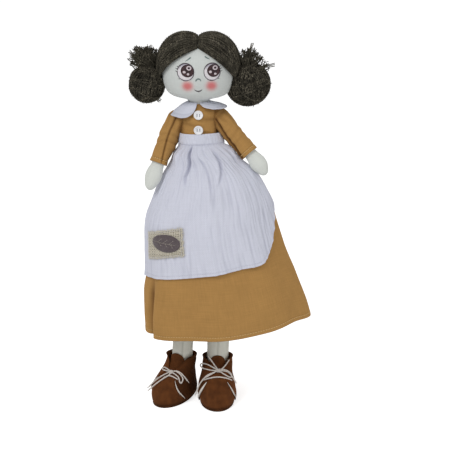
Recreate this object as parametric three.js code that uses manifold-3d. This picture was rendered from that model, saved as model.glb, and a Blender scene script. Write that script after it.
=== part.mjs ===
// A jointed textile doll in a cotton dress, gauze apron and laced suede boots.
// Millimetres. +Z is up, the doll faces -Y, and its own left side is at +X.
import * as THREE from 'three';
import { mergeVertices } from 'three/addons/utils/BufferGeometryUtils.js';
import Module from 'manifold-3d';

const wasm = await Module();
wasm.setup();

// Cloth and clearances
const clearance = 0.3;
const clothThickness = 1.3;
const clothGap = 1.15;

// Torso
const seatHeight = 211;
const seatToHip = 17;
const hipToWaist = 40;
const waistToChest = 17;
const chestToShoulder = 11;
const shoulderToNeck = 6;
const neckLength = 10;
const hipHeight = seatHeight + seatToHip;
const waistHeight = hipHeight + hipToWaist;
const chestHeight = waistHeight + waistToChest;
const shoulderHeight = chestHeight + chestToShoulder;
const neckBaseHeight = shoulderHeight + shoulderToNeck;
const neckTopHeight = neckBaseHeight + neckLength;
const hipHalfWidth = 22;
const hipHalfDepth = 17;
const waistHalfWidth = 16.4;
const waistHalfDepth = 13.4;
const chestHalfWidth = 15.2;
const chestHalfDepth = 14.6;
const neckRadius = 8.8;
const crotchTabHalfWidth = 4;
const crotchTabHalfDepth = 7;

// Joints
const pivotAboveChest = 3;
const pivotBelowSeat = 11;
const hipPivotX = 14.2;
const shoulderPivotHeight = chestHeight + pivotAboveChest;
const hipPivotHeight = seatHeight - pivotBelowSeat;
const threadRadius = 0.8;
const jointButtonRadius = 4;
const jointButtonThickness = 1.2;
const dowelRadius = 3;
const dowelInBody = 21;
const dowelInHead = 24;
const dowelBottomHeight = neckTopHeight - dowelInBody;
const dowelTopHeight = neckTopHeight + dowelInHead;

// Head and hair
const neckInHead = 5;
const headHeight = 57.5;
const headHalfWidth = 34.5;
const headHalfDepth = 29;
const hairThickness = 6;
const hairLobeX = 12;
const hairSetBack = 4;
const partingGap = 0.5;
const rightBunBeside = 15.5;
const leftBunBeside = 13.2;
const bunSetBack = 3;
const rightBunRadii = [17.2, 17, 18];
const leftBunRadii = [21.4, 18.5, 21];
const tuftRadius = 3.2;
const chinHeight = neckTopHeight - neckInHead;
const headLevel = (share) => chinHeight + headHeight * share;
const bunHeight = headLevel(0.243);
const rightBunCentre = [-headHalfWidth - rightBunBeside, bunSetBack, bunHeight];
const leftBunCentre = [headHalfWidth + leftBunBeside, bunSetBack, bunHeight];

// Arms and sleeves
const armHalfWidth = 6.2;
const handHalfWidth = 7.6;
const handHalfDepth = 5.2;
const sleeveHalfWidth = 8.2;
const armReach = 75;
const rightShoulderOut = 5.2;
const leftShoulderOut = 4.5;
const armholeX = 17;
const cuffShare = 0.66;

// Collar
const collarReachSide = 18.2;
const collarReachFront = 11.4;
const collarReachBack = 11;
const collarFall = 7.4;
const collarFallFront = 4.4;
const collarFallBack = 1.5;

// Skirt and apron
const bandHeight = 13.5;
const bandBelowWaist = 6.5;
const skirtBelowWaist = 0.4;
const hemHeightAtAxis = 75.5;
const hemRise = 0.1025;
const hemLift = 3.5;
const hemHalfWidth = 84;
const hemHalfDepth = 53;
const hemCentreX = 27;
const foldDepth = 2.6;
const skirtColumns = 42;
const skirtTopHeight = waistHeight - skirtBelowWaist;
const bandBottomHeight = waistHeight - bandBelowWaist;
const bandTopHeight = bandBottomHeight + bandHeight;
const apronBottomHeight = 145;
const apronPleatDepth = 2.4;
const patchWidthAngle = 39.6;
const patchHeight = 28;

// Legs and boots
const legRadius = 10.3;
const thighRadius = 11.6;
const ankleRadius = 13.6;
const ankleHeight = 39;
const rightAnkle = [-18.8, 3];
const leftAnkle = [17.9, -1.5];
const rightToeOut = 28;
const leftToeOut = 0;
const bootLength = 62;
const bootHalfWidth = 18.4;
const soleThickness = 2.4;
const insoleThickness = 1.4;
const suedeThickness = 1.4;
const tongueHeight = 44.5;
const laceRadius = 0.7;
const eyeletX = 6.4;
const eyeletLow = 29;
const eyeletHigh = 37;

// Buttons on the bodice
const buttonRadius = 4.5;
const buttonThickness = 1.8;
const buttonAboveBand = 5;
const buttonSpacing = 13.4;
const lowerButtonHeight = bandTopHeight + buttonAboveBand;
const upperButtonHeight = lowerButtonHeight + buttonSpacing;

// Closed mesh from rings of points, each ring with as many points as the next
function stitch(rings, closedRing) {
  const count = rings[0].length;
  const positions = [];
  const faces = [];
  rings.forEach((ring) => ring.forEach((point) => positions.push(point.x, point.y, point.z)));
  const last = closedRing ? count : count - 1;
  for (let row = 0; row < rings.length - 1; row += 1) {
    for (let column = 0; column < last; column += 1) {
      const next = (column + 1) % count;
      const a = row * count + column;
      const b = row * count + next;
      const c = (row + 1) * count + column;
      const d = (row + 1) * count + next;
      faces.push(a, b, d, a, d, c);
    }
  }
  return { positions, faces, count };
}

// Turns the faces outward, whichever way the rings ran
function outward(positions, faces) {
  const geometry = new THREE.BufferGeometry();
  geometry.setAttribute('position', new THREE.Float32BufferAttribute(positions, 3));
  const corner = (index) => new THREE.Vector3().fromArray(positions, index * 3);
  let volume = 0;
  for (let face = 0; face < faces.length; face += 3) {
    const [a, b, c] = [corner(faces[face]), corner(faces[face + 1]), corner(faces[face + 2])];
    volume += a.dot(b.cross(c));
  }
  const ordered = volume < 0 ? faces.slice().reverse() : faces;
  geometry.setIndex(ordered);
  return geometry;
}

// A solid through rings, closed by a fan at each end
function loft(rings) {
  const { positions, faces, count } = stitch(rings, true);
  [[0, 1], [rings.length - 1, -1]].forEach(([row, side]) => {
    const middle = new THREE.Vector3();
    rings[row].forEach((point) => middle.addScaledVector(point, 1 / count));
    const centre = positions.length / 3;
    positions.push(middle.x, middle.y, middle.z);
    for (let column = 0; column < count; column += 1) {
      const a = row * count + column;
      const b = row * count + (column + 1) % count;
      faces.push(...(side > 0 ? [a, centre, b] : [a, b, centre]));
    }
  });
  return outward(positions, faces);
}

// A sleeve-like wall between outer and inner rings, open at both ends
function wall(outerRings, innerRings) {
  const loop = [...outerRings, ...innerRings.slice().reverse(), outerRings[0]];
  const { positions, faces } = stitch(loop, true);
  return mergeVertices(outward(positions, faces), 1e-4);
}

// A sheet between two grids of points that lie over each other
function slab(topRows, bottomRows) {
  const loop = topRows.map((row, index) => [...row, ...bottomRows[index].slice().reverse()]);
  const { positions, faces, count } = stitch(loop, true);
  const width = topRows[0].length;
  [[0, 1], [topRows.length - 1, -1]].forEach(([row, side]) => {
    for (let column = 0; column < width - 1; column += 1) {
      const a = row * count + column;
      const b = row * count + column + 1;
      const c = row * count + count - 1 - column;
      const d = row * count + count - 2 - column;
      faces.push(...(side > 0 ? [a, d, b, a, c, d] : [a, b, d, a, d, c]));
    }
  });
  return outward(positions, faces);
}

// Boolean work on closed geometries
function solid(geometry) {
  const plain = geometry.clone();
  plain.deleteAttribute('normal');
  plain.deleteAttribute('uv');
  const merged = mergeVertices(plain, 1e-4);
  return new wasm.Manifold(new wasm.Mesh({
    numProp: 3,
    vertProperties: merged.attributes.position.array,
    triVerts: Uint32Array.from(merged.index.array),
  }));
}

function toGeometry(shape) {
  const mesh = shape.getMesh();
  const geometry = new THREE.BufferGeometry();
  geometry.setAttribute('position', new THREE.Float32BufferAttribute(mesh.vertProperties, 3));
  geometry.setIndex(Array.from(mesh.triVerts));
  return geometry;
}

function cut(geometry, ...tools) {
  return toGeometry(tools.reduce((left, tool) => left.subtract(solid(tool)), solid(geometry)));
}

function join(geometry, ...others) {
  return toGeometry(others.reduce((whole, other) => whole.add(solid(other)), solid(geometry)));
}

// Box between two corners, and cylinders along an axis
function block(x0, x1, y0, y1, z0, z1) {
  const box = new THREE.BoxGeometry(x1 - x0, y1 - y0, z1 - z0);
  return box.translate((x0 + x1) / 2, (y0 + y1) / 2, (z0 + z1) / 2);
}

function rodX(radius, x0, x1, y, z, sides = 12) {
  const rod = new THREE.CylinderGeometry(radius, radius, x1 - x0, sides);
  return rod.rotateZ(Math.PI / 2).translate((x0 + x1) / 2, y, z);
}

function rodZ(radius, z0, z1, x, y, sides = 20) {
  const rod = new THREE.CylinderGeometry(radius, radius, z1 - z0, sides);
  return rod.rotateX(Math.PI / 2).translate(x, y, (z0 + z1) / 2);
}

function ellipsoid(centre, radii, across = 20, down = 14) {
  const ball = new THREE.SphereGeometry(1, across, down).rotateX(Math.PI / 2);
  return ball.scale(...radii).translate(...centre);
}

// A tube of a given radius along points joined by a smooth curve
function tube(points, radius, steps, sides = 6) {
  const section = new THREE.Shape();
  for (let side = 0; side < sides; side += 1) {
    const angle = side / sides * Math.PI * 2;
    const point = [radius * Math.cos(angle), radius * Math.sin(angle)];
    if (side === 0) section.moveTo(...point);
    else section.lineTo(...point);
  }
  const path = new THREE.CatmullRomCurve3(points.map((point) => new THREE.Vector3(...point)));
  return new THREE.ExtrudeGeometry(section, { steps, extrudePath: path, bevelEnabled: false });
}

// A horizontal oval ring; a power over 2 squares its sides
function oval(centreX, centreY, height, halfWidth, halfDepth, sides, power = 2) {
  const ring = [];
  for (let side = 0; side < sides; side += 1) {
    const angle = side / sides * Math.PI * 2;
    const [sine, cosine] = [Math.sin(angle), Math.cos(angle)];
    const x = Math.sign(sine) * Math.abs(sine) ** (2 / power) * halfWidth;
    const y = Math.sign(cosine) * Math.abs(cosine) ** (2 / power) * halfDepth;
    ring.push(new THREE.Vector3(centreX + x, centreY - y, height));
  }
  return ring;
}

// Smooth values between hand-chosen stations, each [place, value, value, ...]
function between(stations, place) {
  const last = stations.length - 1;
  let index = 0;
  while (index < last - 1 && (place - stations[index + 1][0])
    * (stations[last][0] - stations[0][0]) > 0) index += 1;
  const [p0, p1] = [stations[Math.max(index - 1, 0)], stations[index]];
  const [p2, p3] = [stations[index + 1], stations[Math.min(index + 2, last)]];
  const span = p2[0] - p1[0];
  const share = THREE.MathUtils.clamp((place - p1[0]) / span, 0, 1);
  return p1.slice(1).map((value, column) => {
    const next = p2[column + 1];
    const startSlope = p2[0] === p0[0] ? 0 : (next - p0[column + 1]) / (p2[0] - p0[0]) * span;
    const endSlope = p3[0] === p1[0] ? 0 : (p3[column + 1] - value) / (p3[0] - p1[0]) * span;
    const cubic = 2 * value - 2 * next + startSlope + endSlope;
    const square = -3 * value + 3 * next - 2 * startSlope - endSlope;
    return ((cubic * share + square) * share + startSlope) * share + value;
  });
}

// Evenly spread numbers, both ends included
function spread(from, to, steps) {
  return Array.from({ length: steps + 1 }, (_, step) => from + (to - from) * step / steps);
}

// Stations of a limb's round end, from its tip at a start
function roundEnd(start, halfWidth, halfDepth = halfWidth) {
  return [[0, 0.05], [0.12, 0.48], [0.45, 0.86], [1, 1]].map(([place, share]) => (
    [start + place * halfWidth, halfWidth * share, halfDepth * share]));
}

// Rings along a limb, square to its spine, at each station and halfway between far ones
function limbRings(spine, stations, sides, spacing) {
  const length = spine.getLength();
  const places = stations.flatMap(([place], index) => {
    if (index === 0) return [place];
    const before = stations[index - 1][0];
    const steps = Math.max(Math.round((place - before) / spacing), 1);
    return spread(before, place, steps).slice(1);
  });
  return places.map((place) => {
    const share = place / length;
    const point = spine.getPointAt(Math.min(share, 1));
    const along = spine.getTangentAt(Math.min(share, 1));
    const depthWay = new THREE.Vector3(0, 1, 0).addScaledVector(along, -along.y).normalize();
    const widthWay = new THREE.Vector3().crossVectors(along, depthWay);
    const [halfWidth, halfDepth] = between(stations, place);
    return Array.from({ length: sides }, (_, side) => {
      const angle = side / sides * Math.PI * 2;
      const outX = Math.sin(angle) * halfWidth;
      const outY = Math.cos(angle) * halfDepth;
      return point.clone().addScaledVector(widthWay, outX).addScaledVector(depthWay, outY);
    });
  });
}

const pieces = new THREE.Group();

function add(name, geometry, look) {
  const material = new THREE.MeshStandardMaterial({ roughness: 0.85, metalness: 0, ...look });
  const mesh = new THREE.Mesh(geometry, material);
  mesh.name = name;
  pieces.add(mesh);
  return mesh;
}

const skin = { color: 0xe3e4dc };
const yarn = { color: 0x2e261d };
const mustard = { color: 0xb8863f };
const gauze = { color: 0xe2e0ea };
const white = { color: 0xf1f1f3 };
const suede = { color: 0x6d421f };
const darkSuede = { color: 0x3c2413 };
const laceCotton = { color: 0xd6cdbb };
const burlap = { color: 0xc2b59b };
const felt = { color: 0x4a4542 };
const woodLook = { color: 0xcaa978 };
const cardboardLook = { color: 0xa98e68 };
const shirtButton = { color: 0xf4f4f2, roughness: 0.4 };

// Torso: stuffed body with its neck, flat tab for the leg thread below
const torsoStations = [
  [seatHeight, hipHalfWidth * 0.62, hipHalfDepth * 0.62],
  [seatHeight + 5, hipHalfWidth * 0.92, hipHalfDepth * 0.92],
  [hipHeight, hipHalfWidth, hipHalfDepth],
  [waistHeight - 9, waistHalfWidth, waistHalfDepth],
  [waistHeight + 8, waistHalfWidth, waistHalfDepth],
  [chestHeight, chestHalfWidth, chestHalfDepth],
  [shoulderHeight, chestHalfWidth - 0.8, chestHalfDepth * 0.86],
  [neckBaseHeight, neckRadius, neckRadius],
  [neckTopHeight, neckRadius, neckRadius],
];

const torsoHeights = torsoStations.flatMap(([height], index) => {
  if (index === 0) return [height];
  const before = torsoStations[index - 1][0];
  return spread(before, height, Math.ceil((height - before) / 7)).slice(1);
});

function torsoRings(grow, heights) {
  return heights.map((height) => {
    const [halfWidth, halfDepth] = between(torsoStations, height);
    return oval(0, 0, height, halfWidth + grow, halfDepth + grow, 20);
  });
}

function makeTorso() {
  const body = loft(torsoRings(0, torsoHeights));
  const tab = block(
    -crotchTabHalfWidth, crotchTabHalfWidth, -crotchTabHalfDepth, crotchTabHalfDepth,
    hipPivotHeight - crotchTabHalfDepth, seatHeight + 6,
  );
  const bore = threadRadius + clearance;
  return cut(
    join(body, tab),
    rodZ(dowelRadius + clearance, dowelBottomHeight - clearance, neckTopHeight + 1, 0, 0, 16),
    rodX(bore, -30, 30, 0, shoulderPivotHeight, 8),
    rodX(bore, -30, 30, 0, hipPivotHeight, 8),
  );
}

// Bodice: the dress above the waist, a front and a back that meet at the sides
function makeBodice(side) {
  const bottom = skirtTopHeight + clearance;
  const above = torsoHeights.filter((height) => height > bottom + 1 && height <= neckBaseHeight);
  const heights = [bottom, ...above];
  const shell = wall(torsoRings(clearance + clothThickness, heights), torsoRings(clearance, heights));
  const far = 60;
  const seam = clearance / 2;
  return cut(
    shell,
    block(-far, far, side < 0 ? -seam : -far, side < 0 ? far : seam, bottom - 5, far * 6),
    block(armholeX, far, -far, far, bottom + 4, far * 6),
    block(-far, -armholeX, -far, far, bottom + 4, far * 6),
    rodX(threadRadius + clearance * 2, -far, far, 0, shoulderPivotHeight, 8),
  );
}

// Button with two sewing holes, square to the slope of the chest
function makeButton(height) {
  const [, depth] = between(torsoStations, height);
  const [, above] = between(torsoStations, height + buttonRadius);
  const [, below] = between(torsoStations, height - buttonRadius);
  const slope = Math.atan2(below - above, buttonRadius * 2);
  const disc = new THREE.CylinderGeometry(buttonRadius, buttonRadius, buttonThickness, 20);
  const holes = [-1, 1].map((way) => (
    new THREE.CylinderGeometry(0.6, 0.6, buttonThickness * 3, 6).translate(way * 1.3, 0, 0)));
  const sagged = Math.max((below + above) / 2 - depth, 0);
  const back = depth + sagged + clearance * 2.4 + clothThickness + buttonThickness / 2;
  return cut(disc, ...holes).rotateX(-slope).translate(0, -back, height);
}

// Head: oval, widest at the cheeks, with a socket for the neck and its dowel;
// shares of its height, half width and half depth
const headStations = [
  [0, 0.37, 0.42],
  [0.0435, 0.652, 0.64],
  [0.139, 0.884, 0.83],
  [0.296, 0.985, 0.95],
  [0.487, 1, 1],
  [0.696, 0.913, 0.931],
  [0.843, 0.68, 0.68],
  [0.948, 0.42, 0.42],
  [1, 0.1, 0.1],
].map(([share, wide, deep]) => [headLevel(share), headHalfWidth * wide, headHalfDepth * deep]);

function headSolid(grow) {
  const heights = spread(0, Math.PI, 12).map((angle) => {
    const share = (1 - Math.cos(angle)) / 2;
    return headLevel(share);
  });
  const rings = heights.map((height, index) => {
    const [halfWidth, halfDepth] = between(headStations, height);
    const end = index === heights.length - 1 ? grow : 0;
    const start = index === 0 ? grow : 0;
    return oval(0, 0, height + end - start, halfWidth + grow, halfDepth + grow, 20);
  });
  return loft(rings);
}

function makeHead() {
  return cut(
    headSolid(0),
    rodZ(neckRadius + clearance, chinHeight - 3, neckTopHeight + clearance, 0, 0, 24),
    rodZ(dowelRadius + clearance, chinHeight, dowelTopHeight + clearance, 0, 0, 16),
  );
}

// Hair: two thick lobes of yarn that meet at a centre parting
function hairLobe(side, grow) {
  const centre = [side * hairLobeX, hairSetBack, headLevel(0.574)];
  const reach = headHalfWidth + hairThickness - hairLobeX;
  const back = headHalfDepth + hairThickness + clearance * 1.6 - hairSetBack;
  const up = headLevel(1) + hairThickness - centre[2];
  const radii = [reach, back, up].map((value) => value + grow);
  return ellipsoid(centre, radii, 16, 12);
}

function faceOpening() {
  const brow = [0.58 * headHalfWidth, headLevel(0.87)];
  const temple = [0.84 * headHalfWidth, headLevel(0.678)];
  const cheek = [0.942 * headHalfWidth, headLevel(0.383)];
  const jaw = [0.986 * headHalfWidth, headLevel(-0.3)];
  const outline = new THREE.Shape();
  outline.moveTo(0, headLevel(0.904));
  outline.bezierCurveTo(...brow, ...temple, ...cheek);
  outline.lineTo(...jaw);
  outline.lineTo(-jaw[0], jaw[1]);
  outline.lineTo(-cheek[0], cheek[1]);
  outline.bezierCurveTo(-temple[0], temple[1], -brow[0], brow[1], 0, headLevel(0.904));
  const opening = new THREE.ExtrudeGeometry(outline, {
    depth: headHalfDepth * 2, bevelEnabled: false, curveSegments: 6,
  });
  return opening.rotateX(Math.PI / 2).translate(0, -hairSetBack, 0);
}

function makeHair(side) {
  const far = headHalfWidth * 3;
  const middle = partingGap / 2;
  return cut(
    hairLobe(side, 0),
    headSolid(clearance),
    faceOpening(),
    block(side > 0 ? -far : -middle, side > 0 ? middle : far, -far, far, headLevel(-2), headLevel(3)),
    block(-far, far, -far, far, headLevel(-2), headLevel(0.122)),
  );
}

function makeBun(side) {
  const centre = side < 0 ? rightBunCentre : leftBunCentre;
  const radii = side < 0 ? rightBunRadii : leftBunRadii;
  return cut(ellipsoid(centre, radii, 16, 12), hairLobe(side, clearance), headSolid(clearance));
}

// Loose yarn ends that stand off a bun
function makeTuft(side, aim, length) {
  const centre = side < 0 ? rightBunCentre : leftBunCentre;
  const radii = side < 0 ? rightBunRadii : leftBunRadii;
  const way = new THREE.Vector3(...aim).normalize();
  const skinRadius = 1 / Math.hypot(...way.toArray().map((value, axis) => value / radii[axis]));
  const buried = 6;
  const cone = new THREE.CylinderGeometry(tuftRadius * 0.35, tuftRadius, length + buried, 8);
  cone.translate(0, (length + buried) / 2 + skinRadius - buried, 0);
  cone.applyQuaternion(new THREE.Quaternion().setFromUnitVectors(new THREE.Vector3(0, 1, 0), way));
  cone.translate(...centre);
  return cut(cone, ellipsoid(centre, radii.map((value) => value + clearance), 16, 12));
}

// Collar: a flat half ring on each shoulder, open at the front and back
function collarPoint(side, turn, out, lift) {
  const angle = turn * side;
  const front = Math.cos(angle);
  const opening = neckRadius + clearance + 0.5;
  const reachX = opening + out * collarReachSide;
  const reachY = opening + out * (front > 0 ? collarReachFront : collarReachBack);
  const toFront = collarFallFront * Math.max(front, 0) ** 2;
  const toBack = collarFallBack * Math.max(-front, 0);
  const drop = out ** 1.4 * (collarFall + toFront + toBack);
  const top = neckBaseHeight + clothThickness + clearance * 2 + 0.5;
  return new THREE.Vector3(Math.sin(angle) * reachX, -front * reachY, top - drop + lift);
}

function makeCollar(side) {
  const steps = 18;
  const rounding = (share) => Math.sqrt(1 - (1 - Math.min(share, 1)) ** 2 * 0.92);
  const grid = (lift) => spread(0, 1, steps).map((share) => {
    const turn = THREE.MathUtils.degToRad(7 + share ** 1.2 * 168);
    const reach = Math.min(rounding(share / 0.3), rounding((1 - share) / 0.13));
    return spread(0, reach, 3).map((out) => collarPoint(side, turn, out, lift));
  });
  return slab(grid(clothThickness), grid(0));
}

// Arms: tapered stuffed tubes that end in mitten hands; spines in shares of the arm's reach
const armSpines = {
  right: [[0.048, 0, 0.107], [0, 0, 0], [-0.108, -0.053, -0.227], [-0.232, -0.153, -0.567],
    [-0.296, -0.193, -0.733], [-0.352, -0.22, -0.9]],
  left: [[-0.079, 0, 0.081], [0, 0, 0], [0.147, -0.04, -0.147], [0.385, -0.12, -0.411],
    [0.495, -0.16, -0.565], [0.585, -0.187, -0.707]],
};

function armSpine(name) {
  const rootX = name === 'right' ? -armholeX - rightShoulderOut : armholeX + leftShoulderOut;
  const root = new THREE.Vector3(rootX, 0, shoulderPivotHeight);
  const points = armSpines[name].map((share) => (
    new THREE.Vector3(...share).multiplyScalar(armReach).add(root)));
  return new THREE.CatmullRomCurve3(points);
}

function armStations(length) {
  const cuff = length * cuffShare;
  return [
    ...roundEnd(clothThickness + clearance * 2, armHalfWidth),
    [cuff - 4, armHalfWidth - 0.9, armHalfWidth - 1.4],
    [cuff + 4, armHalfWidth - 0.7, armHalfWidth - 1.6],
    [cuff + 12, handHalfWidth, handHalfDepth],
    [length - 4, handHalfWidth * 0.72, handHalfDepth * 0.75],
    [length - 1, handHalfWidth * 0.36, handHalfDepth * 0.4],
    [length, 0.4, 0.4],
  ];
}

function makeArm(name, side) {
  const spine = armSpine(name);
  const limb = loft(limbRings(spine, armStations(spine.getLength()), 12, 8));
  const inner = armholeX + clearance;
  const pocket = inner + 7.7;
  const [near, far] = side > 0 ? [-10, inner] : [-inner, 10];
  return cut(
    limb,
    block(near, far, -40, 40, shoulderPivotHeight - 38, shoulderPivotHeight + 32),
    rodX(threadRadius + clearance, -60, 60, 0, shoulderPivotHeight, 8),
    rodX(jointButtonRadius + clearance, side > 0 ? pocket : -60, side > 0 ? 60 : -pocket,
      0, shoulderPivotHeight, 16),
  );
}

function sleeveStations(length, inset) {
  const cuff = length * cuffShare + inset * 2;
  const wide = sleeveHalfWidth - inset;
  return [
    ...roundEnd(inset, wide, wide - 0.3),
    [cuff * 0.6, wide - 0.5, wide - 1],
    [cuff, wide - 0.4, wide - 1.2],
  ];
}

function makeSleeve(name, side) {
  const spine = armSpine(name);
  const length = spine.getLength();
  const outer = loft(limbRings(spine, sleeveStations(length, 0), 12, 13));
  const hollow = loft(limbRings(spine, sleeveStations(length, clothThickness), 12, 13));
  const inner = armholeX + clearance;
  const [near, far] = side > 0 ? [-10, inner] : [-inner, 10];
  const besideBody = block(near, far, -40, 40, shoulderPivotHeight - 38, shoulderPivotHeight + 32);
  return cut(outer, hollow, besideBody);
}

function makeJointButton(side, x, height) {
  const from = side > 0 ? x : -x - jointButtonThickness;
  return rodX(jointButtonRadius, from, from + jointButtonThickness, 0, height, 16);
}

// Skirt: shares of the way down, and of the way from waist to hem, for centre, width, depth
const flare = [
  [0, 0, 0, 0],
  [0.03, 0.06, 0.08, 0.09],
  [0.07, 0.26, 0.21, 0.23],
  [0.139, 0.41, 0.4, 0.44],
  [0.268, 0.46, 0.59, 0.61],
  [0.381, 0.44, 0.695, 0.71],
  [0.526, 0.575, 0.77, 0.82],
  [0.655, 0.75, 0.845, 0.9],
  [0.773, 0.86, 0.94, 0.96],
  [0.902, 1, 1, 1],
  [1, 1.03, 1, 1],
];
const degrees = THREE.MathUtils.degToRad;
const hemLowest = hemHeightAtAxis - hemRise * (hemHalfWidth - hemCentreX);

function skirtSurface(angle, height, out) {
  const flareTop = bandBottomHeight - clearance;
  const drop = (flareTop - height) / (flareTop - hemLowest);
  const down = THREE.MathUtils.clamp(drop, 0, 1);
  const [centre, wide, deep] = between(flare, down);
  const waves = 0.6 * Math.cos(8 * angle + 0.6) + 0.4 * Math.cos(5 * angle - 1.1);
  const crease = Math.exp(-(((angle + degrees(63)) / degrees(9)) ** 2));
  const sharp = THREE.MathUtils.smoothstep(down, 0.66, 0.92);
  const fold = foldDepth * (down ** 0.7 * waves - 1.6 * sharp * crease);
  const wall0 = clearance + clothThickness;
  const waistWide = waistHalfWidth + wall0;
  const waistDeep = waistHalfDepth + wall0;
  const halfWidth = waistWide + (hemHalfWidth - waistWide) * wide + fold + out;
  const halfDepth = waistDeep + (hemHalfDepth - waistDeep) * deep + fold + out;
  const x = hemCentreX * centre + Math.sin(angle) * halfWidth;
  return new THREE.Vector3(x, -Math.cos(angle) * halfDepth, height);
}

function hemHeight(angle) {
  const lifted = hemLift * Math.exp(-(((angle - degrees(50)) / degrees(20)) ** 2));
  return hemHeightAtAxis + hemRise * (hemCentreX + hemHalfWidth * Math.sin(angle)) + lifted;
}

function makeSkirt() {
  const underBand = bandBottomHeight - clearance;
  const angles = spread(-Math.PI, Math.PI, skirtColumns).slice(0, -1);
  const ringAt = (down, out) => angles.map((angle) => {
    const height = underBand + (hemHeight(angle) - underBand) * down;
    return skirtSurface(angle, height, out);
  });
  const topRing = (out) => angles.map((angle) => skirtSurface(angle, skirtTopHeight, out));
  const shares = [0, 0.018, 0.044, 0.08, 0.15, 0.28, 0.42, 0.58, 0.78, 1];
  const rings = (out) => [topRing(out), ...shares.map((down) => ringAt(down, out))];
  return wall(rings(0), rings(-clothThickness));
}

// Apron: hangs over the skirt from its band, swung to the doll's left, one corner rounded
const apronEdges = [-88, 79];
const apronHem = [
  [-88, -15.5], [-67, -12.5], [-30, -7.2], [-10, -2.6], [20, 4], [38, 7.5], [50, 17], [61, 31],
  [70, 45], [79, 60],
];

function apronOut(angle, down) {
  const calm = THREE.MathUtils.smoothstep(angle, degrees(-30), degrees(-8)) * 0.8 + 0.2;
  const pleat = 0.5 + 0.5 * Math.cos(11 * angle + 0.4 * Math.sin(3 * angle));
  return clothGap + apronPleatDepth * pleat * calm * THREE.MathUtils.smoothstep(down, 0, 0.3);
}

function apronPoint(angle, down, out) {
  const top = bandBottomHeight - clearance;
  const [rise] = between(apronHem, THREE.MathUtils.radToDeg(angle));
  const height = top + (apronBottomHeight + rise - top) * down;
  return skirtSurface(angle, height, apronOut(angle, down) + out);
}

function makeApron() {
  const angles = spread(degrees(apronEdges[0]), degrees(apronEdges[1]), 34);
  const downs = [0, 0.028, 0.07, 0.126, 0.24, 0.34, 0.45, 0.56, 0.68, 0.84, 1];
  const grid = (out) => downs.map((down) => angles.map((angle) => apronPoint(angle, down, out)));
  return slab(grid(clothThickness), grid(0));
}

function makeWaistband() {
  const ringsAt = (grow) => [bandBottomHeight, bandTopHeight].map((height) => {
    const halfWidth = waistHalfWidth + grow;
    return oval(0, 0, height, halfWidth, waistHalfDepth + grow, skirtColumns);
  });
  const inner = clearance * 2 + clothThickness;
  return wall(ringsAt(inner + clothThickness), ringsAt(inner));
}

// Bow of the apron's ties at the back: knot, two loops, two tails
const bowBackY = waistHalfDepth + clearance * 3 + clothThickness * 2;
const bowDepth = 5;
const knotHalfWidth = 4;

function makeKnot() {
  const shape = ellipsoid(
    [0, bowBackY + bowDepth / 2, (bandBottomHeight + bandTopHeight) / 2 - 1],
    [knotHalfWidth, bowDepth / 2, bandHeight * 0.43], 14, 10,
  );
  return shape;
}

function makeBowLoop(side) {
  const reach = 15;
  const swell = 3.4;
  const middle = bowBackY + bowDepth / 2 + 0.5;
  const start = knotHalfWidth + clearance;
  const place = (share) => new THREE.Vector2(
    start + reach * Math.sin(Math.PI * share) ** 0.8,
    middle - Math.cos(Math.PI * share) * (1.1 + swell * Math.sin(Math.PI * share)),
  );
  const heights = [bandBottomHeight + bandHeight * 0.1, bandTopHeight - bandHeight * 0.15];
  const grid = (out) => spread(0, 1, 16).map((share) => {
    const along = place(Math.min(share + 0.02, 1)).sub(place(Math.max(share - 0.02, 0)));
    const normal = new THREE.Vector2(along.y, -along.x).normalize();
    const point = place(share).addScaledVector(normal, out);
    const x = Math.max(point.x, start);
    return heights.map((height) => new THREE.Vector3(side * x, point.y, height));
  });
  return outwardCopy(slab(grid(0.5), grid(-0.5)));
}

// A mirrored geometry has its faces turned back out
function outwardCopy(geometry) {
  const plain = geometry.clone();
  plain.deleteAttribute('normal');
  plain.deleteAttribute('uv');
  const merged = mergeVertices(plain, 1e-4);
  return outward(Array.from(merged.attributes.position.array), Array.from(merged.index.array));
}

function makeBowTail(side) {
  const angles = spread(side * 1.5, side * 11, 3).map((value) => Math.PI - degrees(value));
  const heights = spread(bandBottomHeight - clearance, bandBottomHeight - 58, 9);
  const lean = (height) => degrees(side * 0.12 * (bandBottomHeight - height) * -1);
  const grid = (out) => heights.map((height) => {
    const narrow = 1 / (1 + (bandBottomHeight - height) * 0.03);
    return angles.map((angle) => {
      const turned = Math.PI + (angle - Math.PI) * narrow * 1.6 + lean(height) * 0.5;
      return skirtSurface(turned, height, clothGap + out);
    });
  });
  return outwardCopy(slab(grid(clothThickness), grid(0)));
}

// Patch sewn to the apron, with a felt leaf on it
const patchAngle = -45.3;
const patchDown = 0.753;
const patchTilt = 4.4;

function patchPoint(across, up, out) {
  const angle = degrees(patchAngle + across * patchWidthAngle / 2);
  const [rise] = between(apronHem, THREE.MathUtils.radToDeg(angle));
  const top = bandBottomHeight - clearance;
  const bottom = apronBottomHeight + rise;
  const centreHeight = top + (apronBottomHeight - 4.6 - top) * patchDown;
  const height = centreHeight + up * patchHeight / 2 + across * patchTilt;
  const down = (top - height) / (top - bottom);
  return skirtSurface(angle, height, apronOut(angle, down) + clothThickness + out);
}

function makePatch() {
  const grid = (out) => spread(-1, 1, 4).map((up) => spread(-1, 1, 7)
    .map((across) => patchPoint(across, up, out)));
  const gap = clearance * 2.5;
  return outwardCopy(slab(grid(gap + clothThickness), grid(gap)));
}

function makeLeaf() {
  const base = clearance * 4 + clothThickness;
  const grid = (out) => spread(-1, 1, 8).map((along) => {
    const half = 0.62 * Math.sqrt(1 - 0.97 * along * along);
    return spread(-half, half, 3).map((up) => patchPoint(along * 0.68 + 0.04, up - 0.04, out));
  });
  return outwardCopy(slab(grid(base + clothThickness * 0.8), grid(base)));
}

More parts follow.
